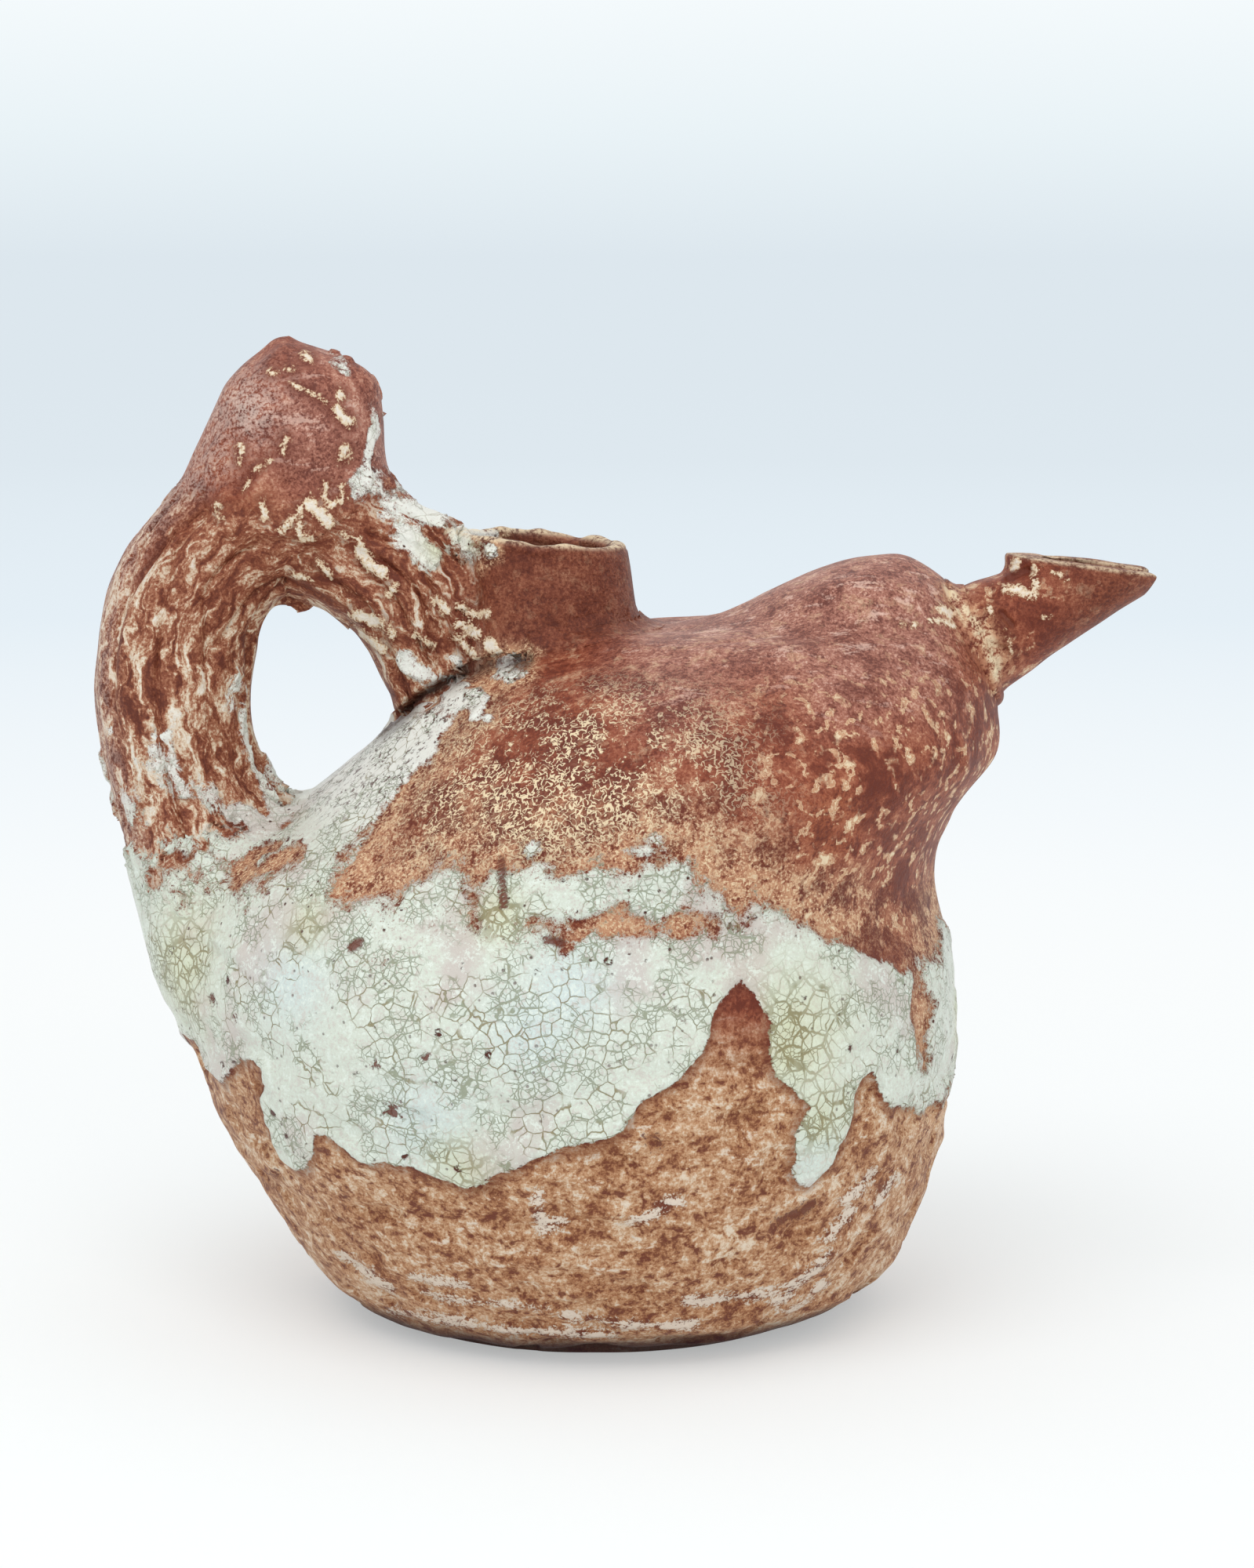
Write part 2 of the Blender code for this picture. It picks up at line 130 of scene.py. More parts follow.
# The forms the pot is pinched from. Each gives a signed distance, outside positive.

body = {
    # height, reach to the tail, reach to the breast, half depth
    "sections": [
        (0.0, 40.5, 40.5, 38.5), (1.6, 47.0, 47.5, 43.5), (6.0, 51.5, 53.0, 48.0),
        (22.0, 61.8, 60.4, 58.0), (49.0, 73.8, 65.0, 65.5), (64.0, 76.2, 64.2, 65.0),
        (79.0, 70.0, 60.9, 61.5), (90.0, 56.0, 63.8, 59.5), (103.0, 40.0, 71.4, 55.0),
        (114.0, 27.5, 71.2, 45.5), (122.0, 10.0, 68.6, 33.5), (126.5, -23.0, 66.5, 21.5),
        (133.0, -36.0, 62.8, 15.0), (137.4, -53.0, 53.0, 0.0)],
    "around": 480,
    # first section, last section and number of rings of each piece
    "pieces": {"foot": (0, 2, 18), "bowl": (2, 6, 105), "dome": (6, 11, 101), "cap": (11, 13, 46)},
    "wall": 6.0, "steps": 60, "steepest": 14.0, "measuredTo": 135.5,
    # behind this x the wall is measured from a few levels below as well
    "backX": 5.0, "drops": (5.0, 10.0, 16.0),
    # heights between which the lining goes from level to square to the wall
    "liningTurn": (6.0, 24.0),
    # the crown: height, rise over the last ring, reaches at its middle and how they spread to that ring
    "crown": {"top": 137.4, "rise": 4.4, "middle": (-53.0, 53.0, 0.0), "spread": (17.0, 9.8, 15.0)},
}


# stack of level ovals kept as height, reaches and how fast these change with height
def stackOf(rows):
    slope = np.clip(np.gradient(rows[:, 1:], rows[:, 0], axis=0), -body["steepest"], body["steepest"])
    return {"z": rows[:, 0], "reach": rows[:, 1:], "slope": slope}


# middle, half length and half depth of the oval at a height, with their slopes
def ovalAt(stack, z):
    b, f, d = (np.interp(z, stack["z"], stack["reach"][:, j]) for j in range(3))
    sb, sf, sd = (np.interp(z, stack["z"], stack["slope"][:, j]) for j in range(3))
    return (f - b) / 2, np.maximum((f + b) / 2, 0.05), np.maximum(d, 0.05), (sf - sb) / 2, (sf + sb) / 2, sd


# normal of a wall whose oval changes with height, at the given cosine and sine round it
def wallNormal(c, s, half, depth, midSlope, halfSlope, depthSlope):
    fall = c * (midSlope + c * halfSlope) / half + s * s * depthSlope / depth
    return unit(np.stack([c / half, s / depth, -fall], -1))


# distance to a stack of ovals: step out to the oval on this level, or some way below it, and measure to the
# wall's tangent plane there
def stackGap(spot, stack, low, high, drop=0.0):
    z = np.clip(spot[..., 2] - drop, low, high)
    mid, half, depth, midSlope, halfSlope, depthSlope = ovalAt(stack, z)
    u, v = (spot[..., 0] - mid) / half, spot[..., 1] / depth
    q = np.sqrt(u * u + v * v) + 1e-9
    c, s = u / q, v / q
    n = wallNormal(c, s, half, depth, midSlope, halfSlope, depthSlope)
    gap = half * (u - c) * n[..., 0] + depth * (v - s) * n[..., 1]
    over = spot[..., 2] - z
    return gap + (over * n[..., 2] if drop else np.abs(over)), n


bodyDense = smoothRows(body["sections"], body["steps"])
bodyCrown = body["crown"]
crownRows = slice(-body["steps"] - 1, None)
crownShare = np.linspace(1.0, 0.0, body["steps"] + 1)[:, None]
# the crown is rounded off: its height falls with the square of the share of the way out
bodyDense[crownRows, 0:1] = bodyCrown["top"] - bodyCrown["rise"] * (1.2 * crownShare**2 - 0.2 * crownShare**3)
bodyDense[crownRows, 1:] = np.array(bodyCrown["middle"]) + crownShare * np.array(bodyCrown["spread"])
bodyStack = stackOf(bodyDense)


# the shoulder rounds over towards the tail, so there the farthest of a few tangent planes counts
def bodyGap(spot):
    gap = stackGap(spot, bodyStack, 0.0, body["measuredTo"])[0]
    back = spot[..., 0] < body["backX"]
    if back.any():
        some = spot[back]
        planes = [stackGap(some, bodyStack, 0.0, body["measuredTo"], drop)[0] for drop in body["drops"]]
        gap[back] = np.maximum(gap[back], np.max(planes, axis=0))
    return gap


handle = {
    # middle line in the XZ plane from the belly over the arch to the neck: x, z, radius
    "bends": [
        (-68.0, 81.0, 14.8), (-74.6, 97.0, 13.8), (-77.0, 114.0, 13.9), (-74.0, 129.0, 13.8),
        (-65.5, 139.5, 13.2), (-55.0, 143.0, 12.4), (-45.5, 139.0, 12.2), (-34.8, 131.8, 13.0),
        (-30.4, 122.0, 11.2), (-25.0, 105.0, 9.8)],
    "flatness": 0.90, "rings": 380, "around": 168, "archX": -55.0,
}
handlePath = evenRows(smoothRows(handle["bends"], 40), handle["rings"])
handleAlong = unit(np.gradient(handlePath[:, :2], axis=0))
handleRun = np.concatenate([[0.0], np.cumsum(np.linalg.norm(np.diff(handlePath[:, :2], axis=0), axis=1))])


# nearest place on the handle's middle line; gives the distance to its skin and the straightened
# place on it: out of the bend, to the side and along the line
def handleSpot(spot):
    x, z = spot[..., 0], spot[..., 2]
    best, where = np.full(x.shape, 1e9), np.zeros(x.shape, int)
    for j in range(0, len(handlePath), 2):
        d = (x - handlePath[j, 0]) ** 2 + (z - handlePath[j, 1]) ** 2
        nearer = d < best
        best = np.where(nearer, d, best)
        where = np.where(nearer, j, where)
    side = spot[..., 1] / handle["flatness"]
    away = np.sqrt(best + side**2) + 1e-9
    gap = (away - handlePath[where, 2]) * (1.0 - (1.0 - handle["flatness"]) * (side / away) ** 2)
    dx, dz = x - handlePath[where, 0], z - handlePath[where, 1]
    alongX, alongZ = handleAlong[where, 0], handleAlong[where, 1]
    out = -dx * alongZ + dz * alongX
    slide = dx * alongX + dz * alongZ
    return gap, np.stack([out, spot[..., 1], handleRun[where] + slide], -1)


# distance to the handle's skin alone
def handleGap(spot):
    return handleSpot(spot)[0]


collar = {
    "rim": (-10.5, 0.0, 140.2), "lean": 5.0, "rimSlope": 4.8, "outer": 15.26, "taper": 0.0637, "bore": 12.5,
    "reach": 45.0, "rimWave": 0.55, "wallWave": 0.40, "boreWave": 0.25, "edge": 1.25, "footDepth": 6.3,
    "around": 220, "outerRows": 70, "edgeRows": 16, "boreRows": 50,
    # where its foot is looked for, how far the bore goes on below it, where the relief fades to the rim
    "search": (-60.0, 0.0), "footRadius": 16.0, "below": 0.6, "fade": (0.965, 1.0), "noiseRadius": 15.0,
}
collarRim = np.array(collar["rim"])
lean, rimLean = math.radians(collar["lean"]), math.radians(collar["rimSlope"])
collarAxis = np.array([-math.sin(lean), 0.0, math.cos(lean)])
collarSide = np.array([math.cos(lean), 0.0, math.sin(lean)])
rimUp = np.array([math.sin(rimLean), 0.0, math.cos(rimLean)])


# distance to the leaning, slightly tapered tube of the collar, ended by the rim's plane and inside the pot
def collarGap(spot):
    rel = spot - collarRim
    s = rel @ collarAxis
    away = np.linalg.norm(rel - s[..., None] * collarAxis, axis=-1)
    ends = np.maximum(rel @ rimUp, -collar["reach"] - s)
    return np.maximum(away - collar["outer"] + collar["taper"] * s, ends)


spout = {
    "foot": (67.5, 0.0, 121.0), "slope": 32.5, "reach": 18.0,
    "outer": 10.08, "taper": 0.0269, "bore": 6.76, "boreTaper": 0.0184,
    "lipBack": 14.0, "lipRise": 10.4, "lipSlope": 7.5, "lipLength": 27.0, "endSlope": 62.0,
    "around": 180, "corner": 1.6, "wave": 0.35, "lipRound": 0.55, "footDepth": 3.2,
    "outerRows": 100, "lipRows": 10, "boreRows": 80,
    # back edge of the lip: height and width of its flare, depth, place and width of the dent under it, and
    # how far it is drawn down
    "flare": (1.3, 2.0), "dent": (1.4, 4.0, 3.2), "draw": (0.8, 1.6),
    "search": (-30.0, 20.0), "footRadius": 10.0, "below": 0.8, "noiseRadius": 10.0,
}
spoutFoot = np.array(spout["foot"])
tilt, lipTilt, endTilt = (math.radians(spout[k]) for k in ("slope", "lipSlope", "endSlope"))
spoutAxis = np.array([math.cos(tilt), 0.0, math.sin(tilt)])
spoutUp = np.array([-math.sin(tilt), 0.0, math.cos(tilt)])
lipNormal = np.array([math.sin(lipTilt), 0.0, math.cos(lipTilt)])
lipBack = spoutFoot + spoutAxis * spout["lipBack"] + spoutUp * spout["lipRise"]
endNormal = np.array([math.sin(endTilt), 0.0, -math.cos(endTilt)])
lipFront = lipBack + np.array([math.cos(lipTilt), 0.0, -math.sin(lipTilt)]) * spout["lipLength"]


# distance to the spout's cone, ended by the level cut, the blunt tip and inside the pot
def spoutGap(spot):
    rel = spot - spoutFoot
    s = rel @ spoutAxis
    away = np.linalg.norm(rel - s[..., None] * spoutAxis, axis=-1)
    cone = away - spout["outer"] + spout["taper"] * s
    cut = np.maximum((spot - lipBack) @ lipNormal, (spot - lipFront) @ endNormal)
    return np.maximum(cone, np.maximum(cut, -spout["reach"] - s))


crest = {
    "middle": -55.0, "low": 142.0, "high": 173.5,
    # height, reach to the left and right of the arch's middle, half depth
    "sections": [(142.0, 13.0, 14.5, 10.5), (151.0, 17.0, 16.8, 13.0), (159.0, 16.0, 17.2, 13.5),
                 (167.0, 11.8, 15.2, 11.5), (174.0, 3.0, 5.0, 4.0), (175.2, 0.0, 0.0, 0.0)],
    "rings": 96, "around": 220,
}
crestSections = [(z, b - crest["middle"], f + crest["middle"], d) for z, b, f, d in crest["sections"]]
crestRows = smoothRows(crestSections, 40)
crestStack = stackOf(crestRows)


# distance to the crest's stack of ovals
def crestGap(spot):
    return stackGap(spot, crestStack, crest["low"], crest["high"])[0]


pad = {"middle": (-70.95, 0.0, 72.0), "halves": (10.5, 19.0, 18.0), "rings": 90, "around": 150}


# distance to an ellipsoid, first order
def padGap(spot):
    rel = (spot - np.array(pad["middle"])) / np.array(pad["halves"])
    q = np.linalg.norm(rel, axis=-1) + 1e-9
    return q * (q - 1.0) / (np.linalg.norm(rel / np.array(pad["halves"]), axis=-1) + 1e-9)


forms = {"body": bodyGap, "handle": handleGap, "collar": collarGap, "crest": crestGap, "pad": padGap,
         "spout": spoutGap}
# width over which the wet clay is smeared from one form onto the next
smear = {"handle": 7.0, "collar": 6.0, "crest": 8.0, "pad": 11.0, "spout": 3.0}
touches = {
    "body": ("handle", "collar", "pad", "spout"), "handle": ("body", "collar", "crest", "pad"),
    "collar": ("body", "handle"), "crest": ("handle",), "pad": ("body", "handle"), "spout": ("body",)}

crease = {
    # fold left where the neck's clay laps over the shoulder on the photographed side, as x and z
    "line": [(-39.0, 105.5), (-35.0, 108.5), (-31.4, 112.0), (-26.7, 114.9), (-22.0, 117.5), (-17.1, 119.4),
             (-12.0, 119.8)],
    "nearY": -2.5, "fade": 3.0,
    # share by which joins are kept tight near it, and how near
    "tight": 0.8, "tightWidth": 6.0,
    # height and width of its swollen lip and of the cut
    "lip": (0.9, 3.4), "cut": (2.6, 0.95),
}
# ridge of clay round the spout's foot on the photographed side
luteLine = [(62.5, -6.0, 130.7), (66.3, -9.5, 126.5), (69.6, -10.0, 122.2), (71.6, -9.5, 116.6)]


# distance from the fold as seen from the side, growing fast on the far side
def seamGap(spot):
    far = np.maximum(spot[..., 1] - crease["nearY"], 0.0)
    return lineGap(spot[..., [0, 2]], crease["line"]) + crease["fade"] * far


# smooth minimum of the distances, taken in a fixed order; the fold keeps its corner sharp
def joined(gaps, spot):
    tight = 1.0 - crease["tight"] * bell(seamGap(spot), crease["tightWidth"])
    total = None
    for name in forms:
        if name not in gaps:
            continue
        if total is None:
            total = gaps[name]
            continue
        k = smear[name] * tight
        mix = np.maximum(k - np.abs(total - gaps[name]), 0.0) / k
        total = np.minimum(total, gaps[name]) - mix * mix * k / 4.0
    return total


# The glaze. Its edges are worked out round the pot's axis as bearing (degrees) and height.

glaze = {
    "axisX": -3.0, "radius": 66.0,
    # lower edge of the pale glaze from the tail past the photographed side, the breast and the far side
    "lower": [
        (-190.0, 47.0), (-184.0, 44.0), (-178.0, 46.0), (-172.0, 51.0), (-165.1, 51.1), (-158.7, 47.7),
        (-153.6, 47.0), (-149.5, 50.4), (-146.5, 52.8), (-142.1, 52.9), (-140.9, 52.2), (-142.9, 47.4),
        (-144.2, 42.6), (-143.9, 38.9), (-142.8, 35.1), (-138.7, 34.1), (-136.2, 34.7), (-133.4, 37.8),
        (-132.1, 42.0), (-129.9, 41.8), (-126.4, 40.1), (-122.3, 38.5), (-116.0, 38.8), (-111.4, 37.2),
        (-108.1, 35.9), (-104.7, 36.2), (-101.7, 38.0), (-98.0, 38.9), (-95.3, 41.4), (-92.7, 42.7),
        (-85.9, 44.6), (-83.0, 46.3), (-81.4, 49.4), (-79.9, 51.6), (-76.3, 53.8), (-72.4, 57.1),
        (-70.3, 60.9), (-69.0, 65.0), (-67.0, 68.2), (-64.4, 70.5), (-61.4, 66.0), (-59.5, 62.9),
        (-60.0, 57.6), (-58.9, 54.0), (-53.9, 47.7), (-55.7, 45.0), (-56.2, 42.5), (-54.6, 34.8),
        (-52.3, 33.4), (-48.9, 36.4), (-47.1, 39.2), (-45.0, 41.9), (-44.2, 45.5), (-44.0, 50.4),
        (-40.6, 51.3), (-37.8, 47.3), (-34.9, 44.5), (-25.7, 42.7), (-17.1, 41.0), (-8.0, 43.0),
        (-2.0, 40.0), (4.0, 37.0), (8.0, 41.0), (16.0, 45.0), (24.0, 44.0), (30.0, 47.0), (33.0, 40.0),
        (34.5, 33.0), (38.0, 31.0), (41.0, 35.0), (42.0, 43.0), (48.0, 49.0), (58.0, 52.0), (66.0, 50.0),
        (74.0, 45.0), (80.0, 42.5), (90.0, 41.0), (98.0, 38.0), (104.0, 37.5), (110.0, 41.0),
        (116.0, 46.0), (122.0, 47.0), (126.0, 42.0), (128.0, 36.0), (131.5, 34.0), (134.5, 38.0),
        (136.0, 46.0), (143.0, 51.0), (152.0, 52.0), (162.0, 50.0), (170.0, 47.0), (176.0, 44.0),
        (182.0, 46.0), (190.0, 50.0)],
    # upper edge in the same order
    "upper": [
        (-190.0, 112.0), (-172.0, 112.0), (-160.0, 112.0), (-150.0, 111.0), (-141.0, 111.5),
        (-131.0, 110.5), (-127.4, 103.6), (-131.8, 100.5), (-132.5, 97.6), (-132.6, 94.3), (-134.4, 91.3),
        (-134.5, 88.5), (-132.0, 85.7), (-131.6, 82.2), (-124.9, 82.8), (-119.6, 84.4), (-117.0, 86.1),
        (-112.8, 89.2), (-109.8, 90.6), (-109.2, 87.4), (-108.0, 83.4), (-106.3, 83.6), (-105.2, 86.0),
        (-102.8, 88.3), (-94.5, 89.3), (-84.3, 90.7), (-75.6, 91.9), (-72.0, 91.2), (-69.5, 86.4),
        (-64.7, 81.4), (-63.5, 84.7), (-61.6, 85.9), (-58.5, 81.5), (-55.6, 79.9), (-46.4, 76.2),
        (-40.0, 72.0), (-31.5, 66.0), (-18.4, 68.0), (-8.0, 71.0), (2.0, 69.0), (12.0, 72.0), (22.0, 75.0),
        (28.0, 72.0), (34.0, 77.0), (46.0, 82.0), (54.0, 80.0), (58.0, 75.0), (62.0, 82.0), (72.0, 88.0),
        (84.0, 90.0), (94.0, 88.0), (99.0, 81.0), (103.0, 88.0), (112.0, 90.0), (122.0, 87.0),
        (132.0, 86.0), (137.0, 92.0), (143.0, 97.0), (150.0, 99.0), (158.0, 106.0), (168.0, 112.0),
        (180.0, 112.0), (190.0, 112.0)],
    # bare rust left inside the band: bearing, height, half width in mm, half height
    "gaps": [
        (-80.5, 80.2, 11.0, 1.2), (-91.0, 78.4, 2.4, 1.6), (-121.0, 73.0, 2.0, 1.2),
        (-26.5, 59.0, 3.0, 7.5), (70.0, 78.0, 9.0, 1.3)],
    # strokes of pale glaze elsewhere: points as x and z, then half width
    "strokes": [
        ([(-47.0, 172.8), (-41.5, 168.0), (-39.6, 161.0), (-40.3, 156.5), (-41.2, 152.0),
          (-40.4, 150.0)], 0.1),
        ([(-40.6, 149.8), (-37.8, 146.3), (-35.0, 142.8), (-32.8, 140.2), (-30.7, 138.1)], 3.0),
        ([(-36.0, 147.5), (-28.7, 143.9), (-24.4, 141.1), (-20.9, 138.4)], 2.4),
        ([(-25.5, 114.0), (-21.1, 113.1)], 2.6), ([(-16.6, 118.0), (-12.6, 118.8)], 1.2),
        ([(-34.0, 119.0), (-31.8, 116.0), (-28.6, 115.3)], 1.7), ([(-24.9, 118.6), (-24.4, 118.3)], 1.2),
        ([(-8.4, 95.0), (-10.7, 91.2)], 0.8), ([(4.6, 92.6), (8.8, 92.0)], 0.7),
        ([(11.0, 91.2), (16.4, 90.8)], 0.7)],
    # rust showing through the pale glaze under the handle's root, in the same way
    "bare": [
        ([(-79.7, 85.8), (-75.8, 83.4), (-70.9, 82.0)], 1.6), ([(-78.5, 80.1), (-73.0, 78.1)], 0.9),
        ([(-63.4, 81.1), (-57.5, 84.7), (-54.0, 87.5)], 1.7),
        ([(-71.4, 90.7), (-65.8, 88.6), (-60.3, 88.7)], 1.0), ([(-80.4, 90.1), (-76.8, 87.8)], 1.2),
        ([(-69.5, 85.7), (-66.1, 83.9)], 0.9)],
    "thickness": 0.50, "bead": 0.32, "none": -8.0,
    # lengths along the handle where its white root ends and where the arch turns down to the neck
    "rootRun": 75.0, "archRun": 110.0,
}


# signed distance to the closed outline of the band, in mm on the unrolled pot; inside positive
def bandGap(bearing, height):
    turn = math.radians(1.0) * glaze["radius"]
    outline = np.array(glaze["lower"] + glaze["upper"][::-1])
    outline[:, 0] *= turn
    x, y = bearing * turn, height
    best, inside = np.full(x.shape, 1e9), np.zeros(x.shape, bool)
    for (ax, ay), (bx, by) in zip(outline, np.roll(outline, -1, axis=0)):
        ex, ey = bx - ax, by - ay
        t = np.clip(((x - ax) * ex + (y - ay) * ey) / (ex * ex + ey * ey + 1e-12), 0.0, 1.0)
        best = np.minimum(best, (x - ax - t * ex) ** 2 + (y - ay - t * ey) ** 2)
        cross = (ay > y) != (by > y)
        inside ^= cross & (x < ex * (y - ay) / (ey if ey else 1e-12) + ax)
    return np.sqrt(best) * np.where(inside, 1.0, -1.0)


# dents and bosses pressed into the clay: place, width and height
marks = [
    ((70.5, -8.0, 101.5), 6.0, 1.2), ((69.5, 8.0, 96.0), 7.0, -0.6), ((-51.3, -1.0, 130.6), 1.4, 2.4),
    ((-53.5, -3.0, 131.2), 1.6, 0.9), ((-7.7, -61.5, 31.4), 2.6, -0.9), ((-4.2, -61.2, 29.6), 2.0, -0.8),
    ((-10.5, -61.0, 33.0), 1.6, 0.6), ((33.6, -50.0, 26.6), 3.0, -0.7), ((30.5, -52.5, 29.0), 1.8, -0.5),
    ((66.5, -3.0, 112.0), 3.0, -1.2), ((-66.8, -32.6, 61.7), 0.9, -0.6), ((-60.0, -40.0, 58.0), 9.0, -0.9),
    ((-33.0, 48.0, 92.0), 8.0, -0.8), ((40.0, 44.0, 30.0), 3.0, -0.8), ((-12.0, 60.0, 27.0), 2.4, -0.8),
    ((10.0, 62.0, 36.0), 1.8, 0.5), ((45.0, -14.0, 131.0), 7.0, 0.7), ((36.0, 12.0, 129.0), 6.0, -0.6),
    ((-66.0, -9.0, 160.0), 7.0, -1.2), ((-50.0, -14.0, 156.0), 8.0, -0.9),
    ((-49.0, 11.5, 160.0), 6.0, -0.8), ((-56.5, 0.0, 175.5), 3.0, 1.3), ((-46.2, -12.0, 148.6), 2.2, -0.8),
    ((-41.0, -3.0, 168.0), 4.0, 1.2), ((-38.5, -4.0, 158.0), 5.0, -0.6), ((-43.0, 9.0, 150.0), 4.0, -0.8),
    ((-64.0, 9.0, 163.0), 6.0, -1.0),
]
# drawn lines: points, width and height, creases negative
strokes = [
    ([(-54.5, -13.0, 159.4), (-58.3, -13.0, 154.5), (-62.5, -12.5, 149.8)], 1.1, -1.0),
    ([(-52.5, -13.0, 158.0), (-57.0, -13.0, 152.5), (-61.0, -12.5, 148.5)], 2.2, 0.7),
    ([(-39.6, -11.0, 148.9), (-42.4, -11.5, 145.8), (-45.0, -12.0, 142.2)], 0.9, -1.0),
    ([(-56.0, -5.0, 174.5), (-59.6, -8.5, 167.8), (-64.0, -10.0, 160.5), (-69.0, -9.5, 155.0)], 2.2, 1.0),
    ([(-54.0, 12.5, 162.0), (-60.0, 12.0, 153.0)], 1.1, -0.9),
    ([(-42.0, 11.0, 148.0), (-47.0, 12.0, 141.0)], 0.9, -0.8),
    ([(61.5, -31.0, 82.0), (66.5, -24.0, 96.0), (64.0, -30.0, 110.0)], 1.6, 0.8),
    ([(57.0, -37.0, 80.0), (61.5, -33.0, 96.0)], 1.3, 0.6),
    ([(62.0, 28.0, 84.0), (66.0, 24.0, 98.0)], 1.6, 0.7),
    ([(14.0, -30.0, 121.0), (30.0, -24.0, 125.0), (42.0, -16.0, 131.0)], 1.2, -0.45),
    ([(10.0, -37.0, 117.0), (30.0, -33.0, 119.5), (48.0, -22.0, 126.0)], 1.4, 0.4),
    ([(12.0, 31.0, 121.0), (34.0, 24.0, 126.0)], 1.3, -0.45),
    ([(-71.4, -23.8, 70.0), (-66.3, -31.5, 70.1), (-62.1, -38.4, 69.1), (-60.2, -41.7, 66.6)], 0.9, -0.9),
    ([(-71.4, -24.0, 72.0), (-66.0, -32.0, 72.0), (-61.0, -39.0, 70.6)], 1.4, 0.5),
]
# cream glaze caught on ridges of the handle and crest, and dry scuffs low on the belly: x and z, half width
creamMarks = [
    ([(-54.6, 158.2), (-55.1, 156.2)], 0.8), ([(-62.7, 156.8), (-62.8, 154.3)], 0.7),
    ([(-58.7, 147.5), (-58.4, 144.5)], 0.7), ([(-57.4, 154.5), (-60.2, 152.8), (-62.1, 149.6)], 0.5),
    ([(-66.8, 147.0), (-66.5, 144.4)], 0.6), ([(-53.4, 144.4), (-55.8, 142.0)], 0.7),
    ([(-52.2, 146.4), (-52.3, 140.8), (-50.4, 140.8)], 0.8), ([(-50.8, 147.3), (-47.2, 143.8)], 1.2),
    ([(-47.8, 150.3), (-48.1, 148.0), (-46.5, 146.8), (-44.9, 147.7), (-45.0, 149.7)], 0.7),
    ([(-53.5, 167.9), (-50.2, 166.5), (-47.5, 164.9)], 0.5), ([(-45.8, 163.4), (-43.6, 161.1)], 1.0),
    ([(-45.3, 166.3), (-45.1, 165.8)], 0.8), ([(-44.4, 156.4), (-44.6, 155.1)], 1.1),
    ([(-57.4, 169.9), (-56.6, 170.0)], 0.6), ([(-54.3, 170.6), (-53.5, 170.2)], 0.7),
    ([(-51.7, 173.0), (-50.8, 172.2)], 0.8), ([(-41.8, 138.4), (-40.0, 135.7), (-38.0, 134.7)], 1.3),
    ([(-43.1, 127.0), (-38.8, 125.7)], 1.4), ([(-42.1, 123.3), (-38.5, 120.7)], 1.1),
    ([(-36.9, 125.5), (-36.3, 123.2)], 0.7), ([(-44.9, 141.7), (-42.2, 140.3), (-40.9, 137.4)], 0.7),
    ([(-49.2, 136.5), (-47.1, 133.6)], 0.7), ([(-53.6, 134.1), (-50.8, 133.1)], 0.6),
    ([(-24.9, 122.9), (-21.0, 119.0)], 0.8), ([(-28.5, 129.9), (-26.6, 127.6)], 0.9),
    ([(-24.8, 128.6), (-22.0, 127.2), (-19.1, 127.4)], 0.8), ([(-24.3, 125.2), (-21.4, 123.9)], 1.3),
    ([(-19.1, 122.3), (-17.7, 120.8)], 1.3), ([(-32.2, 123.4), (-29.1, 121.5)], 0.7),
    ([(-36.7, 130.8), (-35.8, 132.4)], 0.8), ([(31.9, 10.6), (36.8, 15.4), (40.0, 18.7)], 1.3),
    ([(34.3, 7.7), (39.8, 11.9)], 1.0), ([(6.0, 29.5), (13.9, 33.6)], 1.0),
    ([(-35.9, 6.6), (-21.7, 6.8)], 1.1), ([(-19.0, 6.9), (2.8, 6.8)], 0.8),
    ([(-29.8, 12.6), (-7.9, 12.3)], 0.5), ([(-5.3, 10.3), (16.3, 7.8)], 0.8),
    ([(-9.6, 34.7), (-8.8, 28.3), (-5.7, 29.6)], 0.8), ([(-31.0, 15.9), (-22.7, 15.7)], 0.8),
    ([(43.4, 29.0), (47.6, 32.3)], 1.1), ([(16.2, 13.1), (31.3, 12.5)], 0.9),
    ([(-44.0, 17.0), (-36.0, 12.0)], 1.0), ([(49.0, 26.0), (52.0, 30.5)], 0.9),
    ([(40.5, 22.5), (44.0, 26.0)], 0.9), ([(70.0, 122.0), (70.6, 119.5), (71.3, 116.9)], 0.4),
    ([(72.6, 124.4), (73.5, 122.3), (74.0, 120.4)], 0.4), ([(61.1, 128.3), (63.3, 127.4)], 1.1),
    ([(58.8, 126.6), (60.9, 126.5), (63.3, 125.3)], 0.6), ([(53.3, 126.4), (55.9, 126.2)], 0.6),
    ([(66.9, 125.9), (68.3, 124.5)], 0.7), ([(72.9, 131.4), (75.3, 131.4), (77.8, 130.3)], 0.9),
    ([(74.6, 134.9), (75.1, 136.1)], 0.8), ([(78.0, 135.4), (78.0, 132.0)], 0.6),
    ([(69.8, 128.2), (70.3, 127.3)], 0.6), ([(79.5, 126.6), (80.5, 126.7)], 0.4),
    ([(81.6, 134.5), (83.9, 133.4)], 0.5),
]
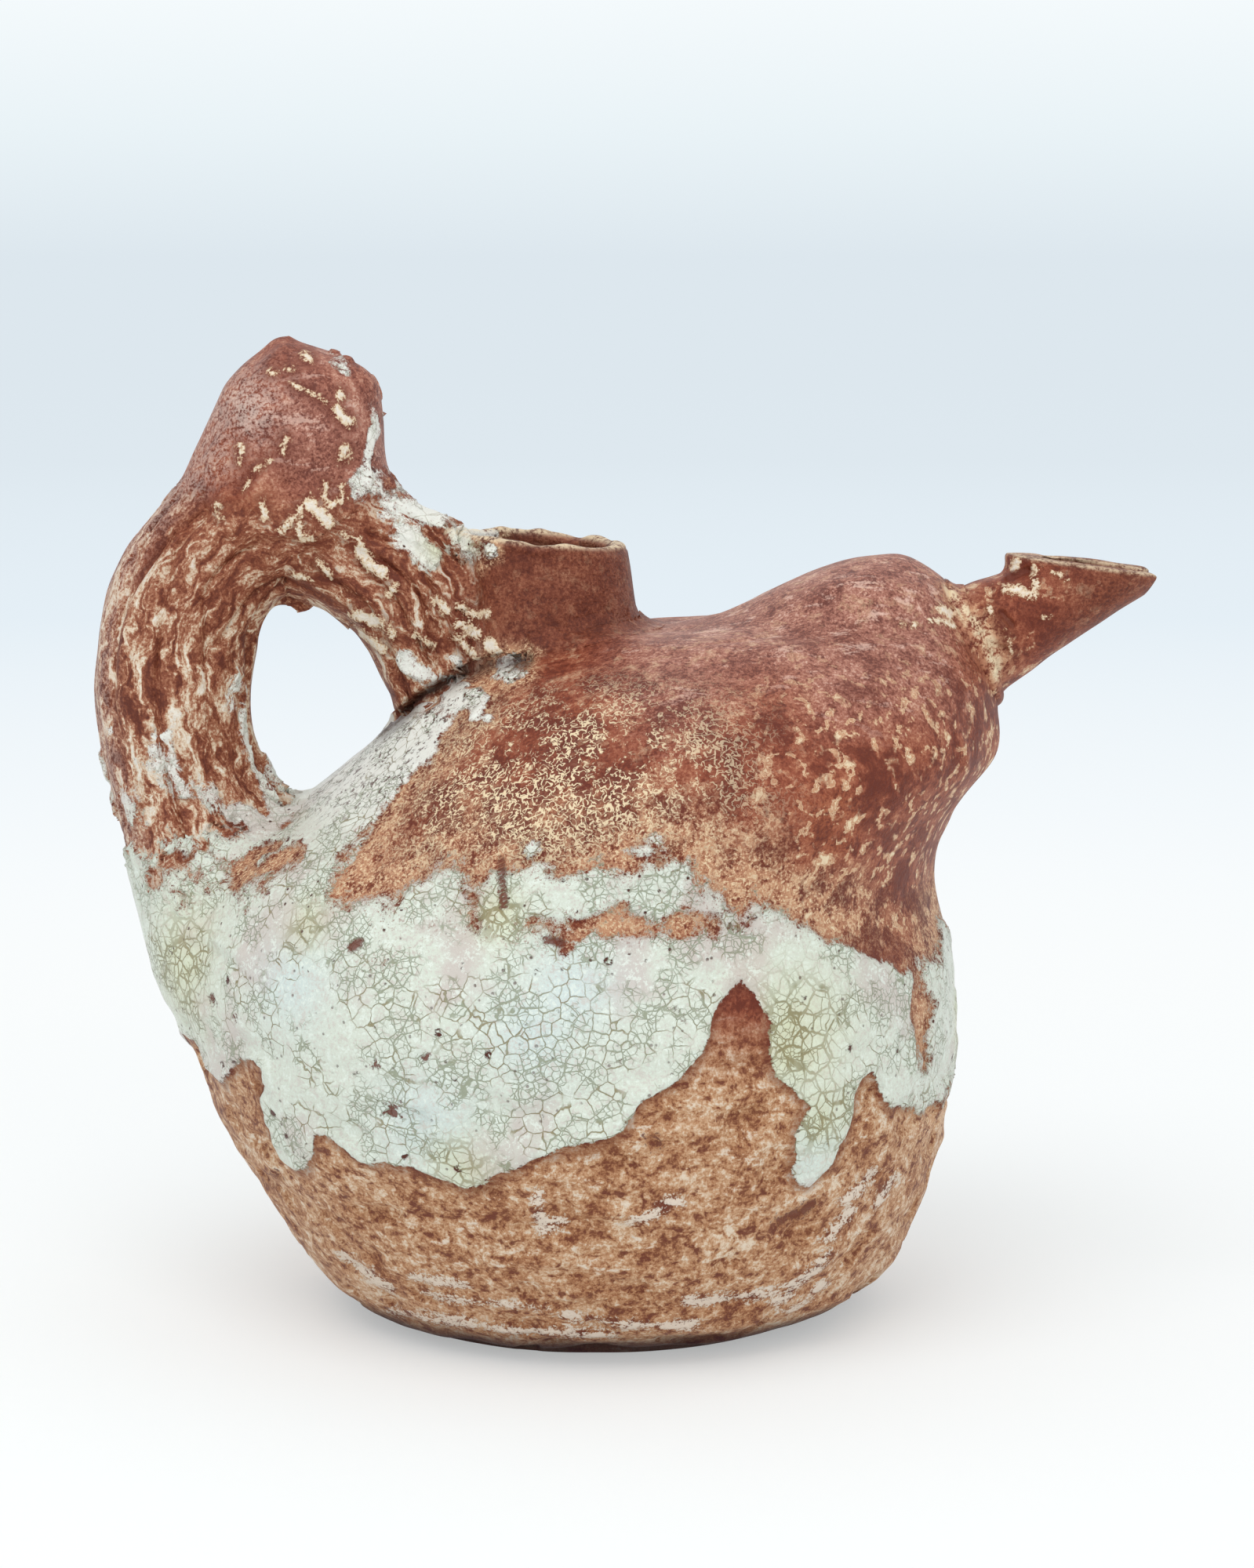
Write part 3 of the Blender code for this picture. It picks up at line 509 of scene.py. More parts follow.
# dark stains and pits, in the same way
stainMarks = [
    ([(31.0, 27.0), (34.5, 28.0), (36.9, 29.6)], 0.9), ([(9.5, 45.0), (10.5, 43.6)], 0.9),
    ([(-56.1, 30.5), (-56.0, 30.0)], 0.7), ([(-67.0, 62.2), (-66.9, 62.0)], 0.8),
    ([(-61.9, 60.2), (-61.8, 60.0)], 0.6), ([(73.7, 133.3), (76.9, 134.6)], 0.8),
    ([(72.1, 127.3), (73.9, 125.2)], 0.7), ([(70.8, 121.7), (72.8, 120.9)], 0.5),
    ([(-36.5, 56.9), (-36.3, 56.4)], 0.7), ([(-28.7, 58.0), (-28.0, 58.6)], 0.7),
    ([(-34.8, 48.5), (-33.5, 48.0)], 0.8), ([(-8.0, 78.2), (-5.4, 77.6)], 0.8),
    ([(-41.0, 75.0), (-39.4, 76.2)], 0.9), ([(14.6, 64.8), (14.7, 64.6)], 0.5),
    ([(22.5, 79.6), (22.6, 79.3)], 0.6), ([(-15.0, 83.5), (-15.6, 90.5)], 0.9),
    ([(4.0, 58.5), (4.2, 58.3)], 0.4), ([(-20.0, 66.0), (-19.8, 65.8)], 0.4),
]
# pools that tint the pale glaze: place, width
greenPools = [
    ((-71.0, -22.0, 66.0), 10.0), ((34.0, -55.0, 60.0), 11.0), ((38.0, -51.0, 46.0), 7.0),
    ((-22.0, -60.5, 40.0), 6.0), ((-48.0, -45.0, 77.0), 5.0), ((-16.0, -60.0, 82.0), 4.5),
    ((58.0, 24.0, 58.0), 9.0), ((-20.0, 61.0, 47.0), 9.0), ((-62.0, 36.0, 66.0), 9.0),
    ((20.0, 60.0, 72.0), 8.0), ((64.0, -4.0, 52.0), 7.0), ((-28.0, -8.0, 139.0), 3.6),
    ((-21.0, -10.0, 140.0), 3.0),
]
bluePools = [
    ((-27.0, -60.0, 47.0), 9.0), ((-10.0, -64.0, 63.0), 8.0), ((-50.0, -47.0, 68.0), 8.0),
    ((37.0, -52.0, 41.0), 6.0), ((-4.0, -65.0, 70.0), 8.0), ((40.0, 51.0, 52.0), 10.0),
    ((-4.0, 64.0, 62.0), 11.0), ((-44.0, 51.0, 56.0), 9.0), ((66.0, 6.0, 62.0), 8.0),
]


# straight distance from one place
def awayFrom(spot, place):
    return np.linalg.norm(spot - np.array(place), axis=-1)


# strongest of a set of soft round spots
def pools(spot, places):
    best = np.zeros(spot.shape[:-1])
    for place, wide in places:
        best = np.maximum(best, bell(awayFrom(spot, place), wide))
    return best


# ends of the soft steps between finishes: heights, lengths along x or distances from a form
zones = {
    "crest": (0.5, 5.0), "limb": (1.0, 8.0), "overBack": (0.5, 5.0), "overFront": (-0.5, 2.0),
    "rootHeight": (69.0, 78.0), "softHeight": (66.0, 82.0), "softBreast": (50.0, 60.0),
    "plumHeight": (107.0, 124.0), "plumBack": (-4.0, 12.0), "plumBreast": (58.0, 70.0),
    "plumCrest": (10.0, 22.0), "fleck": (0.4, 1.35), "dustOut": (7.0, 13.5), "dustFront": (-70.0, -58.0),
    "tailTop": (122.0, 140.0), "tailEnd": (144.0, 152.0), "tailRoot": (68.0, 77.0),
    "tailFront": (-30.0, -14.0), "collar": (1.5, 7.0), "collarBack": (-34.0, -16.0), "spoutTip": (75.0, 92.0),
    # the painted shade along the foot's bottom fades out between 1.8 and 7 mm up
    "high": (86.0, 101.0), "footTuckAndShade": (1.8, 7.0), "tan": (50.0, 66.0),
    "chalkBack": (12.0, 46.0), "chalkTop": (108.0, 126.0), "chalkLow": (62.0, 74.0),
}
# places that some finishes gather round
gathers = {
    "crest": (-50.0, 0.0, 158.0), "flecks": [(-11.0, -49.0, 104.0), (14.0, 49.0, 104.0)],
    "fleckHalves": (40.0, 24.0, 18.0), "dust": (-62.5, 164.5), "dustWidth": 6.5,
    "spoutFoot": (72.0, 126.0), "spoutFootWidth": 8.0, "rimReach": 17.5, "lipFrom": 71.0,
}


# soft step between the ends kept under a name
def zone(value, key):
    return ease(value, *zones[key])


# what the glaze does at a place: signed depth into the pale glaze and the shares of the finishes that the
# recipe mixes, painted shade along the foot's bottom and in the fold among them
def dressing(spot):
    x, y, z = spot[..., 0], spot[..., 1], spot[..., 2]
    bearing = np.degrees(np.arctan2(y, x - glaze["axisX"]))
    gap, grain = handleSpot(spot)
    run = grain[..., 2]
    crestHere = 1.0 - zone(crestGap(spot), "crest")
    limb = np.maximum(1.0 - zone(gap, "limb"), crestHere)

    # the band, the ragged white over the handle's root, gaps, strokes and bare patches
    over = np.where(run < glaze["archRun"], 1.0 - zone(gap, "overBack"), 1.0 - zone(gap, "overFront"))
    over = np.maximum(over * zone(z, "rootHeight"), crestHere)
    root = -0.6 - 0.16 * run + 5.5 * clayNoise(grain, (2.8, 2.8, 8.0), 3.0)
    root = np.clip(root + 5.0 * clayNoise(spot, 4.6, 8.0), glaze["none"], 5.0)
    onLimb = np.where(run < glaze["rootRun"], root, glaze["none"])
    pale = bandGap(bearing, z) * (1.0 - over) + onLimb * over
    for bearingAt, heightAt, wide, tall in glaze["gaps"]:
        u = (bearing - bearingAt) * math.radians(1.0) * glaze["radius"] / wide
        q = np.sqrt(u * u + ((z - heightAt) / tall) ** 2)
        hole = np.where(np.abs(bearing - bearingAt) < 40.0, (q - 1.0) * min(wide, tall), 9.0)
        pale = np.minimum(pale, hole)
    for line, wide in glaze["strokes"]:
        depth = markDepth(spot, [(line, wide)]) + 1.6 * clayNoise(spot, 3.0, 7.0)
        pale = np.maximum(pale, np.where(depth < 0, 5.0 * depth, depth))
    bare = markDepth(spot, glaze["bare"]) + 1.6 * clayNoise(spot, 3.4, 9.0)
    pale = np.where(bare > -2.4, np.minimum(pale, -1.5 * bare), pale)
    soft = np.maximum(np.maximum(zone(z, "softHeight"), zone(x, "softBreast")), limb)
    pale = pale + (1.0 + 1.4 * soft) * clayNoise(spot, 5.0, 1.0)
    pale = pale + (0.5 + 0.9 * soft) * clayNoise(spot, 2.2, 2.0)

    head = zone(z + 6.0 * clayNoise(spot, 14.0, 6.0), "plumHeight") * zone(x, "plumBack")
    head = head * (1.0 - zone(x, "plumBreast"))
    plum = np.maximum(head, 0.95 * (1.0 - zone(awayFrom(spot, gathers["crest"]), "plumCrest")))
    flecks = [np.linalg.norm((spot - np.array(at)) / np.array(gathers["fleckHalves"]), axis=-1)
              for at in gathers["flecks"]]
    dust = limb * zone(grain[..., 0], "dustOut") * (1.0 - zone(x, "dustFront"))
    dustX, dustZ = gathers["dust"]
    dust = np.maximum(dust, crestHere * bell(np.hypot(x - dustX, z - dustZ), gathers["dustWidth"]))
    tail = np.maximum(limb - 0.15 * zone(z, "tailTop") - zone(z, "tailEnd"), 0.0) * zone(z, "tailRoot")
    chalk = zone(x, "chalkBack") * (1.0 - zone(z, "chalkTop")) * zone(z, "chalkLow")
    footX, footZ = gathers["spoutFoot"]
    fromRim = spot - collarRim
    pastRim = np.maximum(np.linalg.norm(fromRim[..., :2], axis=-1) - gathers["rimReach"], 0.0)
    rimGap = np.abs(fromRim @ rimUp) + pastRim
    lipGap = np.abs((spot - lipBack) @ lipNormal) + np.maximum(gathers["lipFrom"] - x, 0.0)
    return {
        "pale": pale, "limb": limb, "grain": grain, "plum": plum, "soft": soft, "dust": dust,
        "fleck": np.maximum(*(1.0 - zone(far, "fleck") for far in flecks)),
        "tail": tail * (1.0 - zone(x, "tailFront")),
        "collar": np.maximum((1.0 - zone(collarGap(spot), "collar")) * zone(x, "collarBack"),
                             0.85 * zone(x, "spoutTip")),
        # share of painted shade along the bottom of the foot, where it meets the floor
        "crest": crestHere, "high": zone(z, "high"), "footTuckAndShade": 1.0 - zone(z, "footTuckAndShade"),
        "mark": markDepth(spot, creamMarks), "stain": markDepth(spot, stainMarks),
        "tan": 1.0 - zone(z + 5.0 * clayNoise(spot, 16.0, 4.0), "tan"),
        "chalk": np.maximum(chalk, bell(np.hypot(x - footX, z - footZ), gathers["spoutFootWidth"])),
        "green": pools(spot, greenPools), "blue": pools(spot, bluePools),
        # the fold's share is a painted shadow line down the crease
        "fold": bell(seamGap(spot), 1.0), "lute": bell(lineGap(spot, luteLine), 3.0),
        "worn": np.maximum(bell(rimGap, 0.55), 0.8 * bell(lipGap, 0.35)),
    }


# layers of noise in the clay: height, block size and shift of each
layers = {
    "lumps": [(0.60, 27.0, 0.0), (0.36, 12.0, 5.0), (0.17, 5.0, 9.0)],
    "belly": [(0.36, (24.0, 24.0, 4.4), 11.0), (0.40, (7.0, 7.0, 2.4), 12.0)],
}


# sum of the noise layers kept under a name
def layered(spot, key):
    return sum(tall * clayNoise(spot, size, shift) for tall, size, shift in layers[key])


# height of the worked surface over its smooth form: pinched lumps, smoothing strokes and chips on the belly,
# drawn lines along the handle, the fold, marks, and the body of the pale glaze with its rolled edge
def relief(spot):
    wear = dressing(spot)
    grain, crestHere = wear["grain"], wear["crest"]
    chips = ease(clayNoise(spot, (6.0, 6.0, 4.0), 17.0), 0.28, 0.52)
    height = layered(spot, "lumps")
    height += wear["tan"] * (layered(spot, "belly") - 0.7 * chips)
    lined = 0.42 * clayNoise(grain, (2.4, 2.4, 14.0), 14.0)
    lined = lined - 0.9 * bell(clayNoise(grain, (3.8, 3.8, 34.0), 13.0), 0.12)
    lined = lined + 0.35 * clayNoise(spot, 8.0, 15.0)
    height += wear["limb"] * (lined * (1.0 - crestHere) + 0.5 * crestHere * clayNoise(spot, 6.0, 16.0))
    seam = seamGap(spot)
    (lipTall, lipWide), (cutDeep, cutWide) = crease["lip"], crease["cut"]
    height += lipTall * bell(seam, lipWide) - cutDeep * bell(seam, cutWide)
    raised = 0.20 * ease(wear["mark"], -0.5, 0.5) - 0.45 * ease(wear["stain"], -0.5, 0.6)
    # the band low on the foot that carries its painted shade also tucks the foot's edge under
    height += raised - 1.0 * wear["footTuckAndShade"]
    for place, wide, tall in marks:
        height += tall * bell(awayFrom(spot, place), wide)
    for line, wide, tall in strokes:
        height += tall * bell(lineGap(spot, line), wide)
    pale = wear["pale"]
    height += glaze["thickness"] * ease(pale, -0.5, 0.9) + glaze["bead"] * bell(pale - 1.0, 0.8)
    return height


# how near a neighbour has to be, how far a point may rise, and how far it may stand over a neighbour
settling = {"near": 14.0, "rise": 9.0, "over": 1.4, "passes": 3, "halvings": 13}
# how far the points of each form may sink
sinking = {"body": -3.0, "handle": -6.0, "collar": -5.0, "crest": -4.0, "pad": -4.0, "spout": -2.5}


# every point moves along its normal to where the joined forms, raised by the relief, are met;
# a point that is already under a neighbour stays under it
def settle(spot, normal, own):
    shape = spot.shape
    p, n = spot.reshape(-1, 3), normal.reshape(-1, 3)
    lift = relief(p)
    nearest = np.min([forms[name](p) for name in touches[own]], axis=0)
    near = np.flatnonzero(nearest < settling["near"])
    p, n, rise = p[near], n[near], lift[near]
    t = rise
    for again in range(settling["passes"]):
        a, b = np.full(len(p), sinking[own]), np.full(len(p), settling["rise"])
        for halving in range(settling["halvings"]):
            t = (a + b) / 2
            at = p + n * t[:, None]
            gaps = {name: forms[name](at) for name in touches[own]}
            other = np.min(list(gaps.values()), axis=0)
            gaps[own] = t
            under = np.maximum(joined(gaps, at) - rise, t - other - settling["over"]) < 0
            a, b = np.where(under, t, a), np.where(under, b, t)
        rise = relief(p + n * t[:, None])
    lift[near] = t
    return (spot.reshape(-1, 3) + normal.reshape(-1, 3) * lift[:, None]).reshape(shape)


# what hangs into the pot is drawn back into the thickness of its wall
def drawBack(spot, depth=4.6):
    for again in range(3):
        gap, n = stackGap(spot, bodyStack, 0.0, body["measuredTo"])
        spot = spot + n * np.maximum(-depth - gap, 0.0)[..., None]
    return spot


# outward normals of a grid whose columns close round
def gridNormals(spot):
    across = np.roll(spot, -1, axis=1) - np.roll(spot, 1, axis=1)
    along = np.gradient(spot, axis=0)
    return unit(np.cross(across, along))


# four corners to each face
def quad(a, b, c, d):
    return np.stack([a, b, c, d], -1)


# faces of a grid stored row by row, columns closed round; rows closed too when asked
def gridFaces(rows, cols, ring=False):
    r = np.arange(rows if ring else rows - 1)[:, None]
    c = np.arange(cols)[None, :]
    up, on = (r + 1) % rows, (c + 1) % cols
    return quad(r * cols + c, r * cols + on, up * cols + on, up * cols + c).reshape(-1, 4)


# fan of triangles from a ring of points to one pole
def fan(ring, pole, flip=False):
    a, b = ring, np.roll(ring, -1)
    return np.stack([b, a, np.full(len(a), pole)] if flip else [a, b, np.full(len(a), pole)], -1)


keptNames = ("pale", "limb", "tail", "collar", "plum", "fleck", "soft", "dust", "tan", "chalk", "green",
             "blue", "fold", "worn", "lute", "high", "footTuckAndShade", "mark", "stain", "inner")
sharpEdge = math.radians(62)


# puts points and faces into a mesh in metres, turns it outwards by its signed volume and keeps the glaze data
def makePiece(name, spot, quads, tris, node, coat, inside=None):
    spot = spot.reshape(-1, 3)
    used = np.zeros(len(spot), bool)
    used[quads.ravel()] = True
    if tris is not None:
        used[tris.ravel()] = True
    index = np.cumsum(used) - 1
    spot = spot[used]
    quads = index[quads]
    tris = index[tris] if tris is not None else np.zeros((0, 3), int)
    corners = np.concatenate([quads[:, [0, 1, 2]], quads[:, [0, 2, 3]], tris])
    a, b, c = spot[corners[:, 0]], spot[corners[:, 1]], spot[corners[:, 2]]
    if np.einsum("ij,ij->", a, np.cross(b, c)) < 0:
        quads, tris = quads[:, ::-1], tris[:, ::-1]
    mesh = bpy.data.meshes.new(name)
    mesh.vertices.add(len(spot))
    mesh.vertices.foreach_set("co", (spot * millimetre).astype(np.float32).ravel())
    loops = np.concatenate([quads.ravel(), tris.ravel()]).astype(np.int32)
    sizes = np.concatenate([np.full(len(quads), 4), np.full(len(tris), 3)])
    starts = np.concatenate([[0], np.cumsum(sizes)[:-1]]).astype(np.int32)
    mesh.loops.add(len(loops))
    mesh.loops.foreach_set("vertex_index", loops)
    mesh.polygons.add(len(sizes))
    mesh.polygons.foreach_set("loop_start", starts)
    mesh.polygons.foreach_set("use_smooth", np.ones(len(sizes), bool))
    mesh.update(calc_edges=True)
    mesh.validate()
    mesh.set_sharp_from_angle(angle=sharpEdge)
    wear = dressing(spot)
    # share of painted shade inside the pot, on the linings and down the bores
    wear["inner"] = inside.reshape(-1)[used] if inside is not None else np.zeros(len(spot))
    for key in keptNames:
        mesh.attributes.new(key, "FLOAT", "POINT").data.foreach_set("value", wear[key].astype(np.float32))
    grain = mesh.attributes.new("grain", "FLOAT_VECTOR", "POINT")
    grain.data.foreach_set("vector", wear["grain"].astype(np.float32).ravel())
    mesh.materials.append(coat)
    piece = bpy.data.objects.new(name, mesh)
    bpy.context.scene.collection.objects.link(piece)
    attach(piece, "root")
    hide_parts(node)
    print(name, len(quads) * 2 + len(tris), "triangles")
    return piece


# rings that close on themselves in both ways
def loopPiece(name, grid, node, coat, inside=None):
    faces = gridFaces(grid.shape[0], grid.shape[1], True)
    return makePiece(name, grid, faces, None, node, coat, inside)


# stack of rings closed by a fan to a point at its first and at its last ring
def endedPiece(name, rings, ends, node, coat, inside=None):
    rows, cols = rings.shape[:2]
    tris = np.concatenate([fan(np.arange(cols), rows * cols, True),
                           fan((rows - 1) * cols + np.arange(cols), rows * cols + 1)])
    spots = np.concatenate([rings.reshape(-1, 3), ends])
    return makePiece(name, spots, gridFaces(rows, cols), tris, node, coat, inside)


# middles of a first and a last ring
def middles(first, last):
    return np.stack([first.mean(axis=0), last.mean(axis=0)])


# equal angles all the way round
def roundAngles(count):
    return np.arange(count) * 2 * math.pi / count


# angles round an axis, and the directions square to it: cosine along the given side, sine along y
def spokesRound(count, side):
    phi = roundAngles(count)
    return phi, np.cos(phi)[:, None] * side + np.sin(phi)[:, None] * np.array([0.0, 1.0, 0.0])


# level circle that noise round a tube is read on
def circleAt(phi, radius):
    return np.stack([np.cos(phi) * radius, np.sin(phi) * radius, np.zeros_like(phi)], -1)


# Materials

# sRGB 0..255 to the linear values that a colour socket takes
def tint(r, g, b):
    c = np.array([r, g, b]) / 255.0
    c = np.where(c <= 0.04045, c / 12.92, ((c + 0.055) / 1.055) ** 2.4)
    return (float(c[0]), float(c[1]), float(c[2]), 1.0)


# a socket that can stand in sums; each sum adds its Math node
class Wire:
    def __init__(self, tree, socket=None):
        self.tree, self.socket = tree, socket

    # any node: its type, its settings, the values or links of its sockets, and which output is wanted
    def node(self, kind, settings=None, sockets=None, out=0):
        made = self.tree.nodes.new(kind)
        for key, value in (settings or {}).items():
            setattr(made, key, value)
        for key, value in (sockets or {}).items():
            if isinstance(value, Wire):
                self.tree.links.new(value.socket, made.inputs[key])
            else:
                made.inputs[key].default_value = value
        return Wire(self.tree, made.outputs[out])

    # Math node over values or wires
    def math(self, operation, *values):
        return self.node("ShaderNodeMath", {"operation": operation}, dict(enumerate(values)))

    def __add__(self, other):
        return self.math("ADD", self, other)

    __radd__ = __add__

    def __mul__(self, other):
        return self.math("MULTIPLY", self, other)

    __rmul__ = __mul__

    def __sub__(self, other):
        return self.math("SUBTRACT", self, other)

    def __rsub__(self, other):
        return self.math("SUBTRACT", other, self)

    # larger of two
    def most(self, other):
        return self.math("MAXIMUM", self, other)

    # value without its sign
    def size(self):
        return self.math("ABSOLUTE", self)

    # S-shaped step between two values; a high below the low turns it round
    def step(self, low, high):
        if high < low:
            return self.between(high, low, 1.0, 0.0)
        return self.between(low, high, 0.0, 1.0)

    # S-shaped step from one value to another between two ends
    def between(self, low, high, start, end):
        return self.node("ShaderNodeMapRange", {"interpolation_type": "SMOOTHSTEP"},
                         {0: self, 1: low, 2: high, 3: start, 4: end})

    # colours at stops along a value
    def ramp(self, stops):
        made = self.node("ShaderNodeValToRGB", None, {0: self})
        band = made.socket.node.color_ramp
        for at, colour in stops[1:-1]:
            band.elements.new(at)
        for element, (at, colour) in zip(band.elements, stops):
            element.position, element.color = at, colour
        return made

    # colour or vector blend by a factor
    def blend(self, factor, other):
        return self.node("ShaderNodeMix", {"data_type": "RGBA"}, {0: factor, 6: self, 7: other}, 2)

    # one colour as a wire
    def colour(self, value):
        return self.node("ShaderNodeMix", {"data_type": "RGBA"}, {0: 0.0, 6: value, 7: value}, 2)

    # place times a factor along each axis
    def stretch(self, x, y, z):
        return self.node("ShaderNodeVectorMath", {"operation": "MULTIPLY"}, {0: self, 1: (x, y, z)})

    # cloudy noise of the given grain per mm, 0..1
    def cloud(self, scale, detail=2.0, rough=0.5, bend=0.0, out=0):
        sockets = {"Vector": self, "Scale": scale, "Detail": detail, "Roughness": rough, "Distortion": bend}
        return self.node("ShaderNodeTexNoise", None, sockets, out)

    # distance to scattered points, or to the edges between their cells
    def cells(self, scale, feature="F1", out=0):
        return self.node("ShaderNodeTexVoronoi", {"feature": feature}, {"Vector": self, "Scale": scale}, out)

    # glaze data kept on the points of a piece
    def kept(self, name, out=2):
        return self.node("ShaderNodeAttribute", {"attribute_name": name}, None, out)


palette = {
    "deep": (102, 40, 22), "rust": (130, 61, 38), "warm": (154, 85, 60), "sand": (184, 124, 92),
    "pale": (224, 184, 150), "plumDeep": (108, 58, 48), "plum": (152, 97, 82), "plumWarm": (186, 132, 114),
    "plumPale": (224, 188, 172), "limbDeep": (98, 44, 28), "limb": (134, 72, 48),
    "limbWarm": (174, 118, 88), "limbCream": (222, 198, 170), "limbWhite": (240, 233, 220),
    "tanDeep": (122, 68, 42), "tan": (171, 119, 81), "tanWarm": (200, 158, 121),
    "tanPale": (228, 210, 187), "orange": (174, 96, 56), "cream": (232, 212, 178),
    "yellow": (244, 224, 186), "murk": (98, 48, 38), "ochre": (206, 158, 121), "dust": (222, 204, 192),
    "collarDeep": (88, 36, 20), "collar": (114, 56, 36), "collarWarm": (148, 90, 66),
    # the near-black brown for the foot is painted shade where the foot meets the floor
    "scuff": (228, 214, 198), "stain": (106, 48, 32), "footTuckAndShade": (58, 28, 32), "white": (212, 219, 206),
    "blue": (199, 218, 224), "green": (210, 213, 166), "mauve": (203, 196, 188), "chalk": (238, 238, 231),
    "bloom": (228, 236, 227), "craze": (124, 108, 56), "grey": (134, 140, 114), "pit": (84, 40, 28),
    # fold is the colour of a painted shadow in the neck's fold
    # inner is the colour of painted shade inside the pot
    "inner": (120, 82, 60), "fold": (66, 34, 26),
}


# one recipe for all the glazed pieces; the kept glaze data decides what shows where
def glazeCoat(name, look):
    coat = bpy.data.materials.new(name)
    coat.use_nodes = True
    tree = coat.node_tree
    shader = tree.nodes["Principled BSDF"]
    shader.inputs["Specular IOR Level"].default_value = look["sheen"]
    base = Wire(tree)
    spot = base.node("ShaderNodeTexCoord", None, None, "Object").stretch(metre, metre, metre)
    grain = base.kept("grain", 1)
    kept = {key: base.kept(key) for key in keptNames}
    often = ("pale", "limb", "soft", "tan", "plum", "chalk")
    pale, limb, soft, tan, plum, chalk = (kept[key] for key in often)
    tone = {key: tint(*value) for key, value in palette.items()}

    # a value and the tones it runs through, dark to light
    def tones(value, places, names):
        return value.ramp([(at, tone[key]) for at, key in zip(places, names)])

    # the same place pushed about by a cloud of the given grain
    def pushed(place, scale, reach):
        return place.node("ShaderNodeVectorMath", {"operation": "MULTIPLY_ADD"}, {
            0: spot.cloud(scale, 2.0, 0.5, 0.0, 1), 1: (reach, reach, reach), 2: place})

    shift, jitter = pushed(spot, 0.22, 4.0), pushed(spot, 0.6, 0.9)

    # mottling at three grains, and drawn out along the handle and round the belly
    fine = spot.cloud(1.80, 3.0, 0.74)
    mid = shift.cloud(0.55, 3.0, 0.66)
    wide = shift.cloud(0.13, 3.0, 0.60)
    bent = pushed(grain, 0.17, 6.5)
    drawn = bent.stretch(0.35, 0.35, 0.105).cloud(1.0, 4.0, 0.66, 0.5)
    lines = bent.stretch(1.20, 1.20, 0.075).cloud(1.0, 2.0, 0.60, 0.3)
    scratch = jitter.stretch(0.15, 0.15, 0.52).cloud(1.0, 4.0, 0.66, 0.6)
    value = fine * 0.34 + mid * 0.32 + wide * 0.34
    grainy = fine * 0.48 + mid * 0.28 + wide * 0.24
    rust = tones(value, (0.425, 0.48, 0.545, 0.61, 0.68), ("deep", "rust", "warm", "sand", "pale"))
    rust = rust.blend(spot.cloud(0.045, 2.0).step(0.50, 0.62) * fine.step(0.40, 0.56) * 0.35, tone["orange"])
    purple = tones(grainy, (0.42, 0.485, 0.55, 0.63), ("plumDeep", "plum", "plumWarm", "plumPale"))
    rust = rust.blend(plum * 0.9, purple)
    wiped = jitter.stretch(0.11, 0.30, 0.45).cloud(1.0, 3.0, 0.6, 0.5)
    rust = rust.blend((wiped * 0.7 + fine * 0.3).step(0.55, 0.64) * plum * 0.7, tone["plumPale"])
    neck = tones(grainy, (0.42, 0.51, 0.62), ("collarDeep", "collar", "collarWarm"))
    rust = rust.blend(kept["collar"] * 0.85, neck)
    low = fine * 0.26 + mid * 0.32 + wide * 0.24 + scratch * 0.18
    rust = rust.blend(tan, tones(low, (0.43, 0.48, 0.525, 0.585), ("tanDeep", "tan", "tanWarm", "tanPale")))

    # haze of thin glaze above the band, ringed cream spots on the breast, wormy flecks on the shoulder
    haze = pale.step(-15.0, -1.0) * (mid * 0.4 + fine * 0.4 + wide * 0.2).step(0.41, 0.56)
    haze = haze * soft * (1.0 - limb)
    rust = rust.blend(haze * 0.9, tone["ochre"])
    rust = rust.blend(haze * fine.step(0.52, 0.60) * 0.8, tone["yellow"])
    rust = rust.blend((mid * 0.3 + wide * 0.7).step(0.52, 0.44) * chalk * 0.5, tone["deep"])
    blot = jitter.cloud(0.42, 2.0, 0.55, 0.3) * 0.8 + fine * 0.2
    where = (chalk * 0.8 + 0.25) * wide.step(0.43, 0.53) * (1.0 - tan * 0.7)
    where = where * (1.0 - kept["collar"] * 0.7) * (1.0 - limb)
    rust = rust.blend(blot.step(0.525, 0.58) * where * 0.85, tone["ochre"])
    rust = rust.blend((blot - 0.58).size().step(0.014, 0.005) * where * 0.7, tone["cream"])
    rust = rust.blend(blot.step(0.62, 0.66) * where, tone["cream"])
    clumps = (spot.cloud(0.085, 2.0) * 0.5 + mid * 0.5).step(0.44, 0.50) * kept["fleck"]
    worm = (jitter.cloud(0.95, 1.0, 0.5, 0.6) - 0.5).size().step(0.060, 0.030) * clumps
    rust = rust.blend(clumps * (wide.step(0.58, 0.46) * 0.45 + 0.1), tone["murk"])
    rust = rust.blend(worm * 0.95, tone["yellow"])

    # the handle: streaks along the clay, creamier towards the root, dust on its outer edge
    along = fine * 0.24 + drawn * 0.54 + lines * 0.22 + pale.step(-9.0, 1.0) * 0.05
    streaks = tones(along, (0.42, 0.48, 0.525, 0.57, 0.63),
                    ("limbDeep", "limb", "limbWarm", "limbCream", "limbWhite"))
    rust = rust.blend(kept["tail"], streaks)
    dusty = kept["dust"] * (lines * 0.3 + fine * 0.7).step(0.43, 0.55) * (plum * 0.5 + 0.42)
    rust = rust.blend(dusty, tone["dust"])

    # dry scuffs and dark patches low on the belly, cream caught on ridges, stains and pits;
    # painted shade round the ridges on the handle
    rust = rust.blend((scratch * 0.55 + fine * 0.2 + mid * 0.25).step(0.555, 0.64) * tan * 0.7, tone["scuff"])
    rust = rust.blend((scratch * 0.45 + mid * 0.55).step(0.455, 0.39) * tan * 0.7, tone["stain"])
    ridge = kept["mark"] + (fine - 0.5) * (tan * 4.0 + 3.0) + (mid - 0.5) * 3.0 + (scratch - 0.5) * tan * 7.0
    ridged = ridge.step(-0.15, 0.40)
